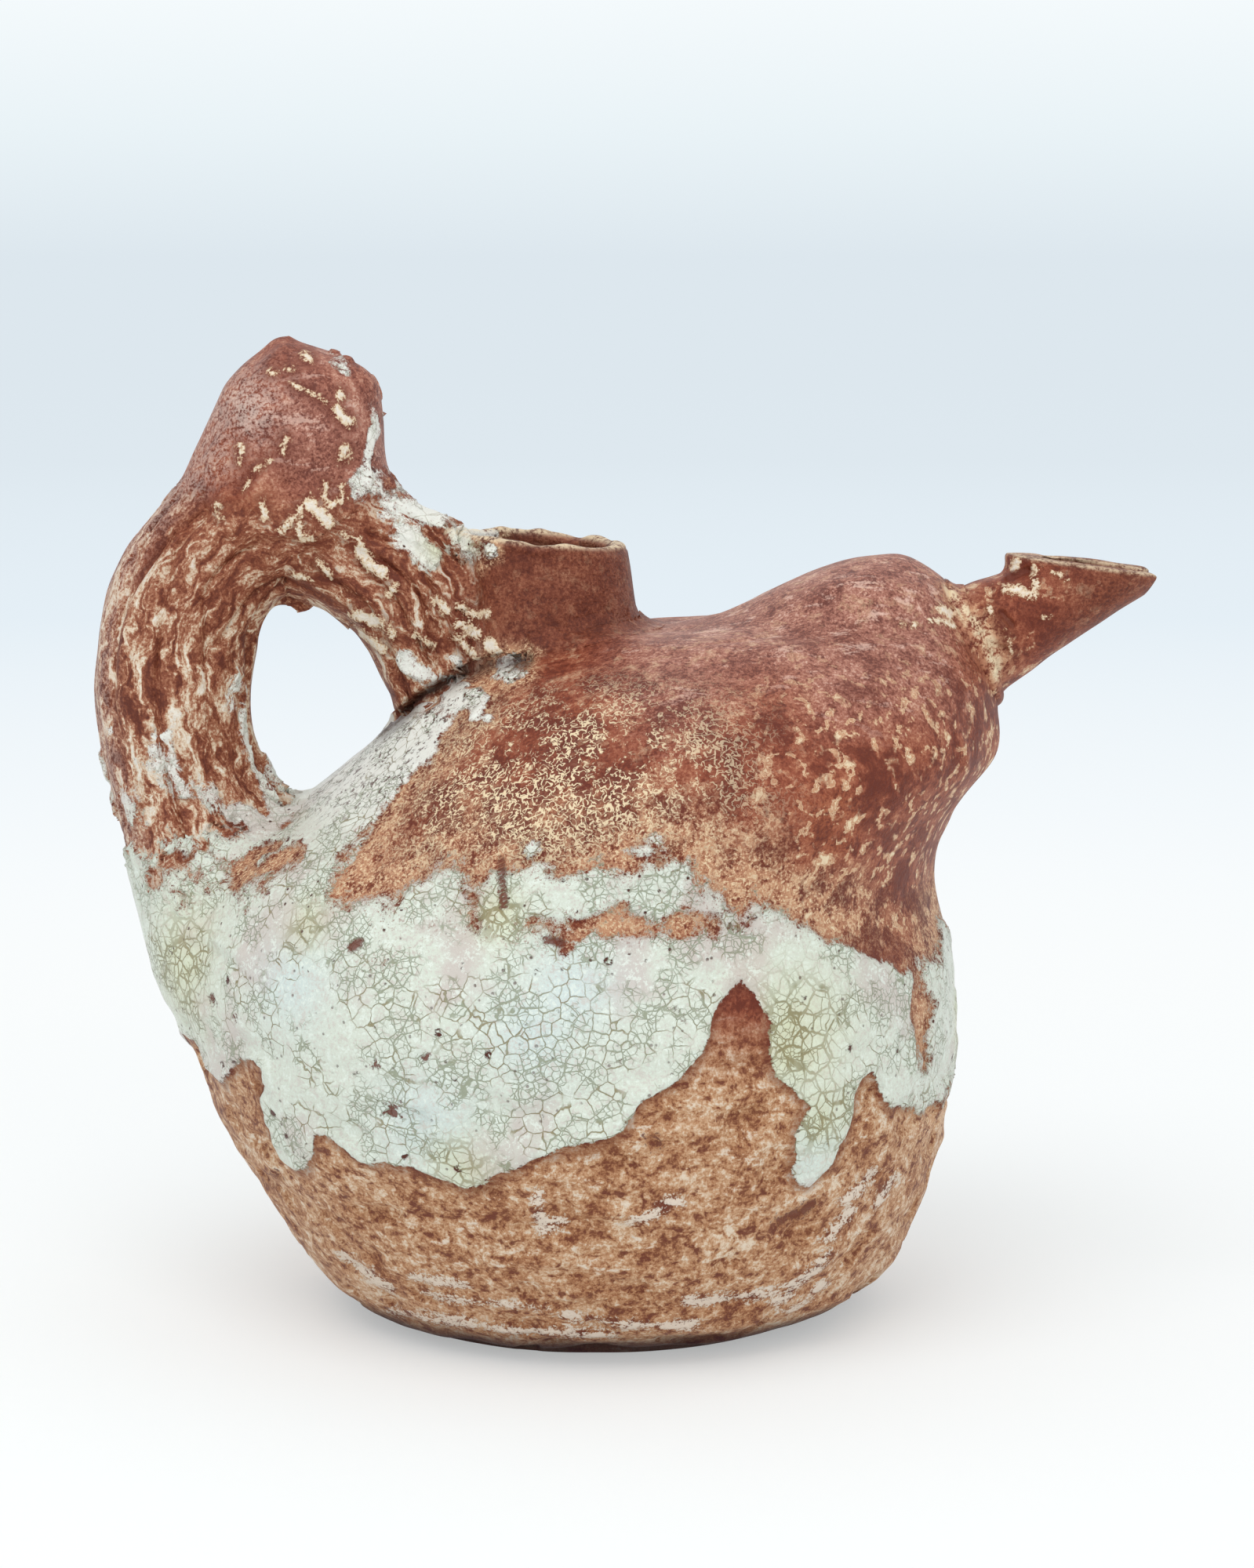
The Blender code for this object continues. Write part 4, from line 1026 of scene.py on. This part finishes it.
    # painted shade: a dark rim round the cream ridges on the handle and crest
    rust = rust.blend(ridge.step(-1.2, -0.2) * (1.0 - ridged) * limb * 0.45, tone["deep"])
    caught = tones(ridge * 0.5, (0.05, 0.25, 0.55), ("sand", "cream", "limbWhite"))
    rust = rust.blend(ridged * 0.92, caught.blend(tan, tone["scuff"]))
    stained = kept["stain"] + (fine - 0.5) * (tan * 2.0 + 1.6) + (mid - 0.5) * (tan * 6.0 + 0.8)
    stained = stained.step(-0.1, 0.5)

    # pale glaze: crisp edge where it ran down, ragged and soft above; mauve clouds, blue and green pools
    edge = pale + (mid - 0.5) * (soft * 5.5 + 1.6) + (fine - 0.5) * (soft * 6.0 + 1.2)
    edge = edge + (drawn - 0.5) * kept["tail"] * 16.0
    cover = edge.between(soft * -0.8 - 0.10, soft * 0.8 + 0.20, 0.0, 1.0)
    thin = edge.step(6.5, 0.5)
    cloud = spot.cloud(0.055, 3.0, 0.55)
    milk = tones(cloud, (0.38, 0.47, 0.56), ("mauve", "white", "white"))
    milk = milk.blend(kept["blue"] * 0.55, tone["blue"])
    mottle = fine * 0.55 + mid * 0.45
    milk = milk.blend(mottle.step(0.51, 0.59) * 0.65, tone["mauve"])
    milk = milk.blend(mottle.step(0.48, 0.40) * 0.75, tone["bloom"])
    milk = milk.blend(kept["high"] * 0.75, tone["chalk"])
    milk = milk.blend(kept["green"] * (wide * 0.7 + 0.12), tone["green"])
    milk = milk.blend(fine.step(0.56, 0.64) * thin * soft * 0.85, tone["rust"])
    broken = (wide * 0.5 + spot.cloud(0.10, 2.0) * 0.5).step(0.44, 0.53).most(kept["green"])
    crazed = jitter.cells(0.36, "DISTANCE_TO_EDGE").step(0.044, 0.016)
    coarser = jitter.cells(0.27, "DISTANCE_TO_EDGE").step(0.068, 0.028) * kept["green"].step(0.12, 0.45)
    finer = jitter.stretch(1.0, 1.0, 1.12).cells(0.78, "DISTANCE_TO_EDGE").step(0.068, 0.026)
    crazed = crazed.most(coarser).most(finer * wide.step(0.47, 0.56) * 0.9) * broken * (1.0 - limb * 0.5)
    cracks = base.colour(tone["craze"]).blend(wide.step(0.44, 0.56) * (1.0 - kept["green"]), tone["grey"])
    milk = milk.blend(crazed * 0.8, cracks)
    pinhole = spot.cells(0.42).step(0.15, 0.07) * (soft * 0.4 + 0.6) * mid.step(0.42, 0.52)
    pinhole = pinhole.most((spot.cells(0.11) + (fine - 0.5) * 0.16).step(0.095, 0.060) * mid.step(0.44, 0.50))
    spatter = (jitter.cloud(0.80, 2.0, 0.6) * 0.6 + fine * 0.4).step(0.55, 0.59) * kept["high"] * (1.0 - plum)
    spatter = spatter * wide.step(0.42, 0.54) * (1.0 - kept["tail"])
    pinhole = pinhole.most(spatter * 0.9)
    milk = milk.blend(pinhole, tone["pit"])

    halo = edge.step(-2.4, -0.1) * (1.0 - cover) * (1.0 - soft * 0.7)
    rust = rust.blend(halo * 0.5, tone["deep"])
    colour = rust.blend(cover, milk)
    colour = colour.blend(stained * 0.9, tone["stain"])
    worn = kept["worn"] * ((mid * 0.5 + fine * 0.5).step(0.42, 0.54) * 0.8 + 0.1)
    colour = colour.blend(worn, tone["cream"])
    # painted shadow: a dark line down the fold where the neck's clay laps over the shoulder
    colour = colour.blend(kept["fold"] * 0.92, tone["fold"])
    # painted shade inside the pot: linings and bores darkened to brown, fading in from the rims
    colour = colour.blend(kept["inner"] * 0.75, tone["inner"])
    rubbed = mid * 0.6 + fine * 0.4
    colour = colour.blend(kept["lute"] * rubbed.step(0.40, 0.54) * 0.8, tone["ochre"])
    luted = kept["lute"].step(0.62, 0.95) * rubbed.step(0.44, 0.55)
    colour = colour.blend(luted * look["cream"], tone["cream"])
    # painted shade: a dark band along the bottom of the foot where it meets the floor
    colour = colour.blend(kept["footTuckAndShade"] * 0.9, tone["footTuckAndShade"])
    gloss = cover * (look["paleRough"] - look["rustRough"]) + look["rustRough"] + (fine - 0.5) * 0.4
    grit = (fine * 0.7 + mid * 0.6) * (1.0 - cover * 0.6) - crazed * cover * 0.2 - pinhole * cover * 0.8
    grit = grit + worm * (1.0 - cover) * 0.2 + along * kept["tail"]
    grit = grit + scratch * tan * (1.0 - cover) * 1.3 + ridged * 0.3 - stained * 0.5
    bumped = base.node("ShaderNodeBump", None, {"Strength": look["bump"], "Distance": 0.0008, "Height": grit})
    tree.links.new(colour.socket, shader.inputs["Base Color"])
    tree.links.new(gloss.socket, shader.inputs["Roughness"])
    tree.links.new(bumped.socket, shader.inputs["Normal"])
    return coat


finishes = {
    "rustGlaze": {"paleRough": 0.34, "rustRough": 0.50, "bump": 0.65, "cream": 0.8, "sheen": 0.28},
    "plumGlaze": {"paleRough": 0.34, "rustRough": 0.48, "bump": 0.60, "cream": 0.8, "sheen": 0.28},
    "celadonGlaze": {"paleRough": 0.32, "rustRough": 0.54, "bump": 0.65, "cream": 0.8, "sheen": 0.28},
    "creamGlaze": {"paleRough": 0.36, "rustRough": 0.50, "bump": 0.60, "cream": 1.0, "sheen": 0.28},
    "bareClay": {"paleRough": 0.44, "rustRough": 0.62, "bump": 0.75, "cream": 0.8, "sheen": 0.22},
}
rustCoat, plumCoat, celadonCoat, creamCoat, clayCoat = (
    glazeCoat(name, look) for name, look in finishes.items())
print("glazes mixed")

# Body: one skin from foot to head, worked once and then parted at its sections

around = body["around"]
turn = roundAngles(around)
ringSets, cuts, total = [], {}, 0
for key, (first, last, count) in body["pieces"].items():
    rows = evenRows(bodyDense[first * body["steps"]:last * body["steps"] + 1], count)
    cuts[key] = (total, total + count)
    total += count - 1
    ringSets.append(rows if key == "cap" else rows[:-1])
skinRows = np.concatenate(ringSets)


# rings of ovals as a grid, x = middle + half * cos, y = depth * sin, with the normals of the wall
def ovalGrid(rows, stack, turn):
    mid, half, depth = (rows[:, 2] - rows[:, 1]) / 2, (rows[:, 2] + rows[:, 1]) / 2, rows[:, 3]
    c, s = np.cos(turn)[None, :], np.sin(turn)[None, :]
    level = np.broadcast_to(rows[:, :1], (len(rows), len(turn)))
    spot = np.stack([mid[:, None] + half[:, None] * c, depth[:, None] * s, level], -1)
    shape = (v[:, None] for v in ovalAt(stack, rows[:, 0])[1:])
    return spot, wallNormal(c, s, *shape)


skin, skinNormal = ovalGrid(skinRows, bodyStack, turn)
skin[-1], skinNormal[-1] = skin[-1].mean(axis=0), (0.0, 0.0, 1.0)
worked = settle(skin, skinNormal, "body")
worked[-1] = worked[-1].mean(axis=0)
flat = ease(skinRows[:, 0], *body["liningTurn"])[:, None]
inwardNormal = unit(skinNormal * np.stack([np.ones_like(flat), np.ones_like(flat), flat], -1))
lining = skin - inwardNormal * body["wall"]
print("body worked:", skin.shape)


# rings of one piece out of the whole skin
def part(grid, key):
    return grid[cuts[key][0]:cuts[key][1]]


# closed wall: outside, lining and both edges; opened cells are left out and the wall is closed round them
def wallFaces(rows, cols, opened):
    inner = rows * cols

    # number of a point, columns closed round
    def at(r, c):
        return r * cols + c % cols

    r, c = np.meshgrid(np.arange(rows - 1), np.arange(cols), indexing="ij")
    cell = quad(at(r, c), at(r, c + 1), at(r + 1, c + 1), at(r + 1, c))[~opened]
    faces = [cell, cell[:, ::-1] + inner]
    c, top = np.arange(cols), rows - 1
    faces.append(quad(at(top, c), at(top, c + 1), inner + at(top, c + 1), inner + at(top, c)))
    faces.append(quad(inner + at(0, c), inner + at(0, c + 1), at(0, c + 1), at(0, c)))
    left = np.roll(opened, 1, axis=1)
    r, c = np.nonzero(opened[1:] & ~opened[:-1])
    faces.append(quad(at(r + 1, c), at(r + 1, c + 1), inner + at(r + 1, c + 1), inner + at(r + 1, c)))
    r, c = np.nonzero(~opened[1:] & opened[:-1])
    faces.append(quad(inner + at(r + 1, c), inner + at(r + 1, c + 1), at(r + 1, c + 1), at(r + 1, c)))
    r, c = np.nonzero(opened & ~left)
    faces.append(quad(at(r + 1, c), at(r, c), inner + at(r, c), inner + at(r + 1, c)))
    r, c = np.nonzero(~opened & left)
    faces.append(quad(at(r, c), at(r + 1, c), inner + at(r + 1, c), inner + at(r, c)))
    return np.concatenate(faces)


# foot: the skin's lowest rings, closed by a shallow hollow under it and a floor inside the pot
foot = {"rings": 22, "inmost": 0.06, "hollow": 0.9, "edge": (0.70, 0.86), "floor": 6.0, "dip": 0.5}
footSkin = part(worked, "foot")
footSkin[0, :, 2] = 0.0
footSkin[:, :, 2] = np.maximum(footSkin[:, :, 2], 0.0)
share = np.linspace(foot["inmost"], 1.0, foot["rings"])[:-1, None, None]
under = footSkin[0][None] * share
under[..., 2] = foot["hollow"] * (1.0 - ease(share[..., 0] + 0.02 * clayNoise(under, 9.0), *foot["edge"]))
floorRows = footSkin[-1][None] * share[::-1]
floorRows[..., 2] = foot["floor"] - foot["dip"] * (1.0 - share[::-1][..., 0])
footEnds = [[0.0, 0.0, foot["hollow"]], [0.0, 0.0, foot["floor"] - foot["dip"]]]
footGrid = np.concatenate([under, footSkin, floorRows])
endedPiece("footSlab", footGrid, footEnds, "foot_slab", clayCoat)

# bowl: plain wall from the foot to the waist, with a coarser lining
liningRows = 36
bowlSkin, bowlLining = part(worked, "bowl"), part(lining, "bowl")
bowlLining = bowlLining[np.unique(np.linspace(0, len(bowlLining) - 1, liningRows).round().astype(int))]
bowlGrid = np.concatenate([bowlSkin, bowlLining[::-1]])
inside = np.concatenate([np.zeros(bowlSkin.shape[:2]), np.ones(bowlLining.shape[:2])])
loopPiece("lowerBowl", bowlGrid, "lower_bowl", celadonCoat, inside)

# dome: wall from the waist to the head with the mouth and the strainer's holes left open
strainer = {"radius": 1.9, "ring": 4.8, "holes": 6}
mouth = {"radius": 13.9, "brink": 1.6}
holeBack = -30.0  # how far behind its place a hole still counts
domeSkin, domeLining = part(worked, "dome").copy(), part(lining, "dome").copy()
holes = [(collarRim, collarAxis, mouth["radius"])]
for k in range(strainer["holes"] + 1):
    reach = strainer["ring"] if k < strainer["holes"] else 0.0
    a = 2 * math.pi * k / strainer["holes"]
    place = spoutFoot + np.array([0.0, math.cos(a), 0.0]) * reach + spoutUp * math.sin(a) * reach
    holes.append((place, spoutAxis, strainer["radius"]))
rows = len(domeSkin)
middle = (domeSkin[:-1] + domeSkin[1:]) / 2
middle = (middle + np.roll(middle, -1, axis=1)) / 2


# distance from a straight axis, and the foot of it on the axis; only the side the axis points to counts
def axisGap(spot, at, axis):
    rel = spot - at
    s = rel @ axis
    on = at + s[..., None] * axis
    return np.linalg.norm(spot - on, axis=-1) + np.where(s < holeBack, 1e3, 0.0), on


opened = np.zeros((rows - 1, around), bool)
for at, axis, radius in holes:
    opened |= axisGap(middle, at, axis)[0] < radius
corner = np.zeros((rows, around), int)
for dr in (0, 1):
    for dc in (0, 1):
        corner[dr:rows - 1 + dr] += np.roll(opened, dc, axis=1)
brink = (corner > 0) & (corner < 4)
for at, axis, radius in holes:
    for grid in (domeSkin, domeLining):
        gap, on = axisGap(grid, at, axis)
        mine = brink & (axisGap(domeSkin, at, axis)[0] < radius + mouth["brink"])
        grid[mine] = (on + (grid - on) * (radius / np.maximum(gap, 1e-6))[..., None])[mine]
domeGrid = np.concatenate([domeSkin, domeLining])
inside = np.concatenate([np.zeros(domeSkin.shape[:2]), np.ones(domeLining.shape[:2])])
makePiece("upperDome", domeGrid, wallFaces(rows, around, opened), None, "upper_dome", rustCoat,
          inside)

# head: cap from the neck ring to its crown, with its lining
capSkin, capLining = part(worked, "cap"), part(lining, "cap")
capLining[-1] = capLining[-1].mean(axis=0)
capGrid = np.concatenate([capSkin[-2::-1], capLining[:-1]])
capEnds = np.concatenate([capSkin[-1, :1], capLining[-1, :1]])
inside = np.repeat([0.0, 1.0, 0.0, 1.0], [(len(capSkin) - 1) * around, (len(capLining) - 1) * around, 1, 1])
endedPiece("headCap", capGrid, capEnds, "head_cap", plumCoat, inside)

# Mouth collar


# height along an axis where a tube's wall has gone a given depth into the body, halving the stretch
def reachInto(start, axis, search, depth, halvings=18):
    a, b = (np.full(len(start), end) for end in search)
    for halving in range(halvings):
        t = (a + b) / 2
        deep = bodyGap(start + axis * t[:, None]) < -depth
        a, b = np.where(deep, t, a), np.where(deep, b, t)
    return (a + b) / 2


# places on a tube: so far along its axis and so far out along its spokes
def onTube(foot, axis, spokes, along, out):
    return foot + axis * along[..., None] + spokes * out[..., None]


# height along the axis where each spoke of a tube ends in the pot's wall
def tubeFoot(look, foot, axis, spokes):
    return reachInto(foot + spokes * look["footRadius"], axis, look["search"], look["footDepth"])


# outer wall of a tapered tube between two heights: shares, heights, plain and worked places
def tubeWall(look, own, foot, axis, spokes, low, high):
    v = np.linspace(0.0, 1.0, look["outerRows"])[:, None]
    s = low + (high - low) * v
    spot = onTube(foot, axis, spokes, s, look["outer"] - look["taper"] * s)
    normal = np.broadcast_to(unit(spokes + axis * look["taper"]), spot.shape)
    return v, s, spot, settle(spot, normal, own)


phi, spoke = spokesRound(collar["around"], collarSide)
circle = circleAt(phi, collar["noiseRadius"])
rimWave = collar["rimWave"] * (clayNoise(circle, 6.0, 3.0) + 0.5 * clayNoise(circle, 2.6, 4.0))
tipS = -collar["outer"] * (spoke @ rimUp) / (collarAxis @ rimUp) + rimWave - collar["edge"]
footS = tubeFoot(collar, collarRim, collarAxis, spoke)
v, _, outSpot, outSet = tubeWall(collar, "collar", collarRim, collarAxis, spoke, footS, tipS)
fade = 1.0 - ease(v, *collar["fade"])
outSet = outSpot + (outSet - outSpot) * fade[..., None]
bow = np.linspace(0.0, math.pi, collar["edgeRows"])[1:-1, None]
half = (collar["outer"] - collar["taper"] * tipS - collar["bore"]) / 2
ripple = collar["wallWave"] * clayNoise(circle, 5.0, 8.0)
edgeR = collar["bore"] + half + half * np.cos(bow) + ripple * np.sin(bow)
edgeS = tipS + collar["edge"] * np.sin(bow)
edgeSpot = onTube(collarRim, collarAxis, spoke, edgeS, edgeR)
w = np.linspace(0.0, 1.0, collar["boreRows"])[:, None]
boreS = tipS + (footS - collar["below"] - tipS) * w
tube = np.broadcast_to(circle, boreS.shape + (3,)).copy()
tube[..., 2] = boreS
boreR = collar["bore"] + collar["boreWave"] * clayNoise(tube, (7.0, 7.0, 3.5), 6.0) * ease(w, 0.0, 0.08)
boreSpot = onTube(collarRim, collarAxis, spoke, boreS, boreR)
collarGrid = np.concatenate([outSet, edgeSpot, boreSpot])
# painted shade inside the collar fades in down the bore from the rim
inside = np.concatenate([np.zeros(outSet.shape[:2]), np.zeros(edgeSpot.shape[:2]),
                         np.broadcast_to(ease(w, 0.0, 0.12), boreS.shape)])
loopPiece("neckCollar", collarGrid, "neck_collar", rustCoat, inside)

# Luting coils: a rope in the corner where a tube stands on the body, pressed to the skin and a little proud

coils = {
    "collar": {"radius": 16.9, "reach": 4.4, "proud": 0.22, "around": 260, "turns": 40},
    "spout": {"radius": 10.3, "reach": 2.0, "proud": 0.45, "around": 200, "turns": 40},
}
roping = {"core": 0.3, "uneven": 0.7, "passes": 2, "halvings": 12}


# rope surface: from each point of the corner line outwards, as far as the joined forms plus the proud height,
# or as far as the reach
def coilGrid(look, start, axis, spokes, search, names):
    lineS = reachInto(start + spokes * look["radius"], axis, search, 0.0)
    line = start + spokes * look["radius"] + axis * lineS[:, None]
    along = unit(np.roll(line, -1, axis=0) - np.roll(line, 1, axis=0))
    up = unit(np.cross(along, spokes))
    flatWay = np.cross(up, along)
    a = roundAngles(look["turns"])
    way = np.cos(a)[None, :, None] * flatWay[:, None] + np.sin(a)[None, :, None] * up[:, None]
    at = np.broadcast_to(line[:, None], way.shape)
    shape = way.shape
    at, way = at.reshape(-1, 3), way.reshape(-1, 3)
    proud = look["proud"] * (1.0 + roping["uneven"] * clayNoise(at, 5.0, 17.0))
    rise = np.zeros(len(at))
    for again in range(roping["passes"]):
        lo, hi = np.full(len(at), roping["core"]), np.full(len(at), look["reach"])
        for halving in range(roping["halvings"]):
            t = (lo + hi) / 2
            p = at + way * t[:, None]
            gaps = {name: forms[name](p) for name in names}
            under = joined(gaps, p) - rise - proud < 0
            lo, hi = np.where(under, t, lo), np.where(under, hi, t)
        rise = relief(at + way * t[:, None])
    return (at + way * t[:, None]).reshape(shape)


spokes = spokesRound(coils["collar"]["around"], collarSide)[1]
joining = ("body", "handle", "collar")
rope = coilGrid(coils["collar"], collarRim, collarAxis, spokes, collar["search"], joining)
loopPiece("collarCoil", rope, "collar_luting_coil", rustCoat)
spokes = spokesRound(coils["spout"]["around"], spoutUp)[1]
rope = coilGrid(coils["spout"], spoutFoot, spoutAxis, spokes, spout["search"], ("body", "spout"))
loopPiece("spoutCoil", rope, "spout_luting_coil", creamCoat)

# Spout: cone wall up to the cut, over the lip and back down the bore

phi, spoke = spokesRound(spout["around"], spoutUp)


# where a line on a cone along the spout meets a cutting plane
def cutAt(point, normal, r0, r1):
    lean = spoke @ normal
    return -((spoutFoot - point) @ normal + r0 * lean) / (spoutAxis @ normal + r1 * lean)


# smaller of the two cuts, with the corner between them eased
def lipRow(r0, r1):
    a, b = cutAt(lipBack, lipNormal, r0, r1), cutAt(lipFront, endNormal, r0, r1)
    k = spout["corner"]
    mix = np.maximum(k - np.abs(a - b), 0.0) / k
    return np.minimum(a, b) - mix * mix * k / 4.0


wave = spout["wave"] * clayNoise(circleAt(phi, spout["noiseRadius"]), 4.0, 23.0)
outTop = lipRow(spout["outer"], -spout["taper"]) + wave
inTop = lipRow(spout["bore"], -spout["boreTaper"]) + wave
footS = tubeFoot(spout, spoutFoot, spoutAxis, spoke)
outS, outSet = tubeWall(spout, "spout", spoutFoot, spoutAxis, spoke, footS, outTop)[1::2]
crown = np.maximum(np.cos(phi), 0.0)[None, :] ** 3
past = outS - outTop
(flareTall, flareWide), (dentDeep, dentAt, dentWide) = spout["flare"], spout["dent"]
drawFar, drawWide = spout["draw"]
bend = (flareTall * bell(past, flareWide) - dentDeep * bell(past + dentAt, dentWide)) * crown
drawn = drawFar * bell(past, drawWide) * crown
outSet = outSet + spoke * bend[..., None] - spoutAxis * drawn[..., None]
w = np.linspace(0.0, 1.0, spout["boreRows"])[:, None]
inS = inTop + (footS - spout["below"] - inTop) * w
inR = spout["bore"] - spout["boreTaper"] * inS
inSpot = onTube(spoutFoot, spoutAxis, spoke, inS, inR)
lip = np.linspace(0.0, 1.0, spout["lipRows"])[1:-1, None, None]
lipSpot = outSet[-1][None] * (1 - lip) + inSpot[0][None] * lip
lipSpot = lipSpot + spoutAxis * spout["lipRound"] * np.sin(math.pi * lip)
spoutGrid = np.concatenate([outSet, lipSpot, inSpot])
# painted shade inside the spout fades in down the bore from the lip
inside = np.concatenate([np.zeros(outSet.shape[:2]), np.zeros(lipSpot.shape[:2]),
                         np.broadcast_to(ease(w, 0.0, 0.2), inS.shape)])
loopPiece("spoutBeak", spoutGrid, "spout", rustCoat, inside)

# Handle: one ring-by-ring tube along its middle line, parted at the top of the arch

alpha = roundAngles(handle["around"])
acrossX, acrossZ = -handleAlong[:, 1], handleAlong[:, 0]
ca, sa = np.cos(alpha)[None, :], np.sin(alpha)[None, :]
wide = handlePath[:, 2][:, None]
tube = np.stack([handlePath[:, :1] + acrossX[:, None] * wide * ca, handle["flatness"] * wide * sa,
                 handlePath[:, 1:2] + acrossZ[:, None] * wide * ca], -1)
tubeNormal = -gridNormals(tube)
tubeSet = drawBack(settle(tube, tubeNormal, "handle"))
archRow = int(np.argmin(np.abs(handlePath[:, 0] - handle["archX"])))
for name, node, first, last in (("handleBackLimb", "handle_back_limb", 0, archRow + 1),
                                ("handleFrontLimb", "handle_front_limb", archRow, len(tubeSet))):
    rings = tubeSet[first:last]
    endedPiece(name, rings, middles(rings[0], rings[-1]), node, rustCoat)

# crest on the arch
turn = roundAngles(crest["around"])
crestSkinRows = evenRows(crestRows, crest["rings"])
knob, knobNormal = ovalGrid(crestSkinRows, crestStack, turn)
knob[-1], knobNormal[-1] = knob[-1].mean(axis=0), (0.0, 0.0, 1.0)
knobSet = settle(knob, knobNormal, "crest")
knobEnds = middles(knobSet[0], knobSet[-1])
endedPiece("handleCrest", knobSet[:-1], knobEnds, "handle_crest", plumCoat)

# pad at the root, an ellipsoid with its poles to the sides, under the smear
rise = np.linspace(0.0, math.pi, pad["rings"])[1:-1, None]
spin = roundAngles(pad["around"])[None, :]
side = np.broadcast_to(np.cos(rise), (len(rise), spin.shape[1]))
ball = np.stack([np.sin(rise) * np.cos(spin), side, np.sin(rise) * np.sin(spin)], -1)
padSpot = np.array(pad["middle"]) + ball * np.array(pad["halves"])
padNormal = unit(ball / np.array(pad["halves"]))
padSet = drawBack(settle(padSpot, padNormal, "pad"))
padEnds = middles(padSet[0], padSet[-1])
endedPiece("handleRootPad", padSet, padEnds, "handle_root_pad", celadonCoat)

# Floor, light and camera

# floor colours by distance from the pot, then the sky's over the horizon
stage = {
    "floor": [
        (0.30, (252, 254, 254)), (0.62, (244, 249, 252)), (1.3, (229, 239, 246)), (2.8, (222, 232, 239)),
        (5.0, (221, 231, 238))],
    "sky": [(0.0, (221, 231, 238)), (0.035, (234, 243, 247)), (0.075, (246, 251, 253))],
    "paper": (250, 254, 255), "rough": 0.7, "sheen": 0.2, "world": 0.80, "reach": 5.0,
    # distances between which the floor goes over to its own colour, and its least share
    "glow": (0.16, 0.50), "least": 0.38,
}


# 1 for rays from the camera, a reflection or through glass, which see the backdrop as it is coloured
def seenRays(wire):
    kinds = ("Is Camera Ray", "Is Glossy Ray", "Is Transmission Ray")
    rays = [wire.node("ShaderNodeLightPath", None, None, kind) for kind in kinds]
    return rays[0].most(rays[1]).most(rays[2])


# disc just under the foot, its rings closer towards the middle
table = {"rings": 39, "around": 72, "radius": 14.0, "level": -0.0002}
rings, cols = table["rings"], table["around"]
reach = np.linspace(0.0, 1.0, rings + 1)[1:, None] ** 2 * table["radius"]
turn = roundAngles(cols)[None, :]
disc = np.stack([reach * np.cos(turn), reach * np.sin(turn), np.full((rings, cols), table["level"])], -1)
mesh = bpy.data.meshes.new("tableTop")
mesh.from_pydata(np.concatenate([disc.reshape(-1, 3), [[0.0, 0.0, table["level"]]]]).tolist(), [],
                 gridFaces(rings, cols).tolist() + fan(np.arange(cols), rings * cols, True).tolist())
mesh.update()
tableTop = bpy.data.objects.new("tableTop", mesh)
bpy.context.scene.collection.objects.link(tableTop)
paper = bpy.data.materials.new("palePaper")
paper.use_nodes = True
tree = paper.node_tree
shader = tree.nodes["Principled BSDF"]
shader.inputs["Base Color"].default_value = tint(*stage["paper"])
shader.inputs["Roughness"].default_value = stage["rough"]
shader.inputs["Specular IOR Level"].default_value = stage["sheen"]
base = Wire(tree)
ground = base.node("ShaderNodeTexCoord", None, None, "Object")
away = base.node("ShaderNodeVectorMath", {"operation": "LENGTH"}, {0: ground}, 1)
shades = [(at / stage["reach"], tint(*colour)) for at, colour in stage["floor"]]
shade = (away * (1.0 / stage["reach"])).ramp(shades)
glow = base.node("ShaderNodeEmission", None, {"Color": shade})
seen = seenRays(base)
shown = (away.step(*stage["glow"]) * (1.0 - stage["least"]) + stage["least"]) * seen
mixed = base.node("ShaderNodeMixShader", None, {0: shown, 1: Wire(tree, shader.outputs[0]), 2: glow})
tree.links.new(mixed.socket, tree.nodes["Material Output"].inputs["Surface"])
tableTop.data.materials.append(paper)

world = bpy.data.worlds.new("studio")
world.use_nodes = True
bpy.context.scene.world = world
tree = world.node_tree
base = Wire(tree)
seen = seenRays(base)
lit = base.node("ShaderNodeBackground", None, {"Color": (1.0, 1.0, 1.0, 1.0), "Strength": stage["world"]})
up = base.node("ShaderNodeSeparateXYZ", None, {0: base.node("ShaderNodeTexCoord", None, None, 0)}, 2)
shown = base.node("ShaderNodeBackground", None, {
    "Color": up.ramp([(at, tint(*colour)) for at, colour in stage["sky"]]), "Strength": 1.0})
mixed = base.node("ShaderNodeMixShader", None, {0: seen, 1: lit, 2: shown})
tree.links.new(mixed.socket, tree.nodes["World Output"].inputs["Surface"])

lamps = [
    # name, place, aimed at, size, watts
    ("softTop", (-0.25, -0.55, 1.15), (0.0, 0.0, 0.06), 0.9, 4.6),
    ("softFront", (0.55, -1.10, 0.45), (0.0, 0.0, 0.08), 0.8, 1.7),
]
for name, place, aim, wide, watts in lamps:
    lamp = bpy.data.lights.new(name, "AREA")
    lamp.shape = "DISK"
    lamp.size = wide
    lamp.energy = watts
    holder = bpy.data.objects.new(name, lamp)
    z = unit(np.array(place) - np.array(aim))
    x = unit(np.cross((0.0, 1.0, 0.2), z))
    y = np.cross(z, x)
    holder.matrix_world = Matrix([(x[i], y[i], z[i], place[i]) for i in range(3)] + [(0.0, 0.0, 0.0, 1.0)])
    bpy.context.scene.collection.objects.link(holder)

lens = bpy.data.cameras.new("lens")
lens.sensor_fit = "VERTICAL"
lens.angle = math.radians(24.5)
lens.clip_start, lens.clip_end = 0.01, 60.0
camera = bpy.data.objects.new("camera", lens)
camera.location = (0.0054, -0.650, 0.190)
camera.rotation_euler = (math.radians(90.0 - 8.3), 0.0, 0.0)
bpy.context.scene.collection.objects.link(camera)
bpy.context.scene.camera = camera
bpy.context.scene.view_settings.view_transform = "Standard"

print("teapot dressed")
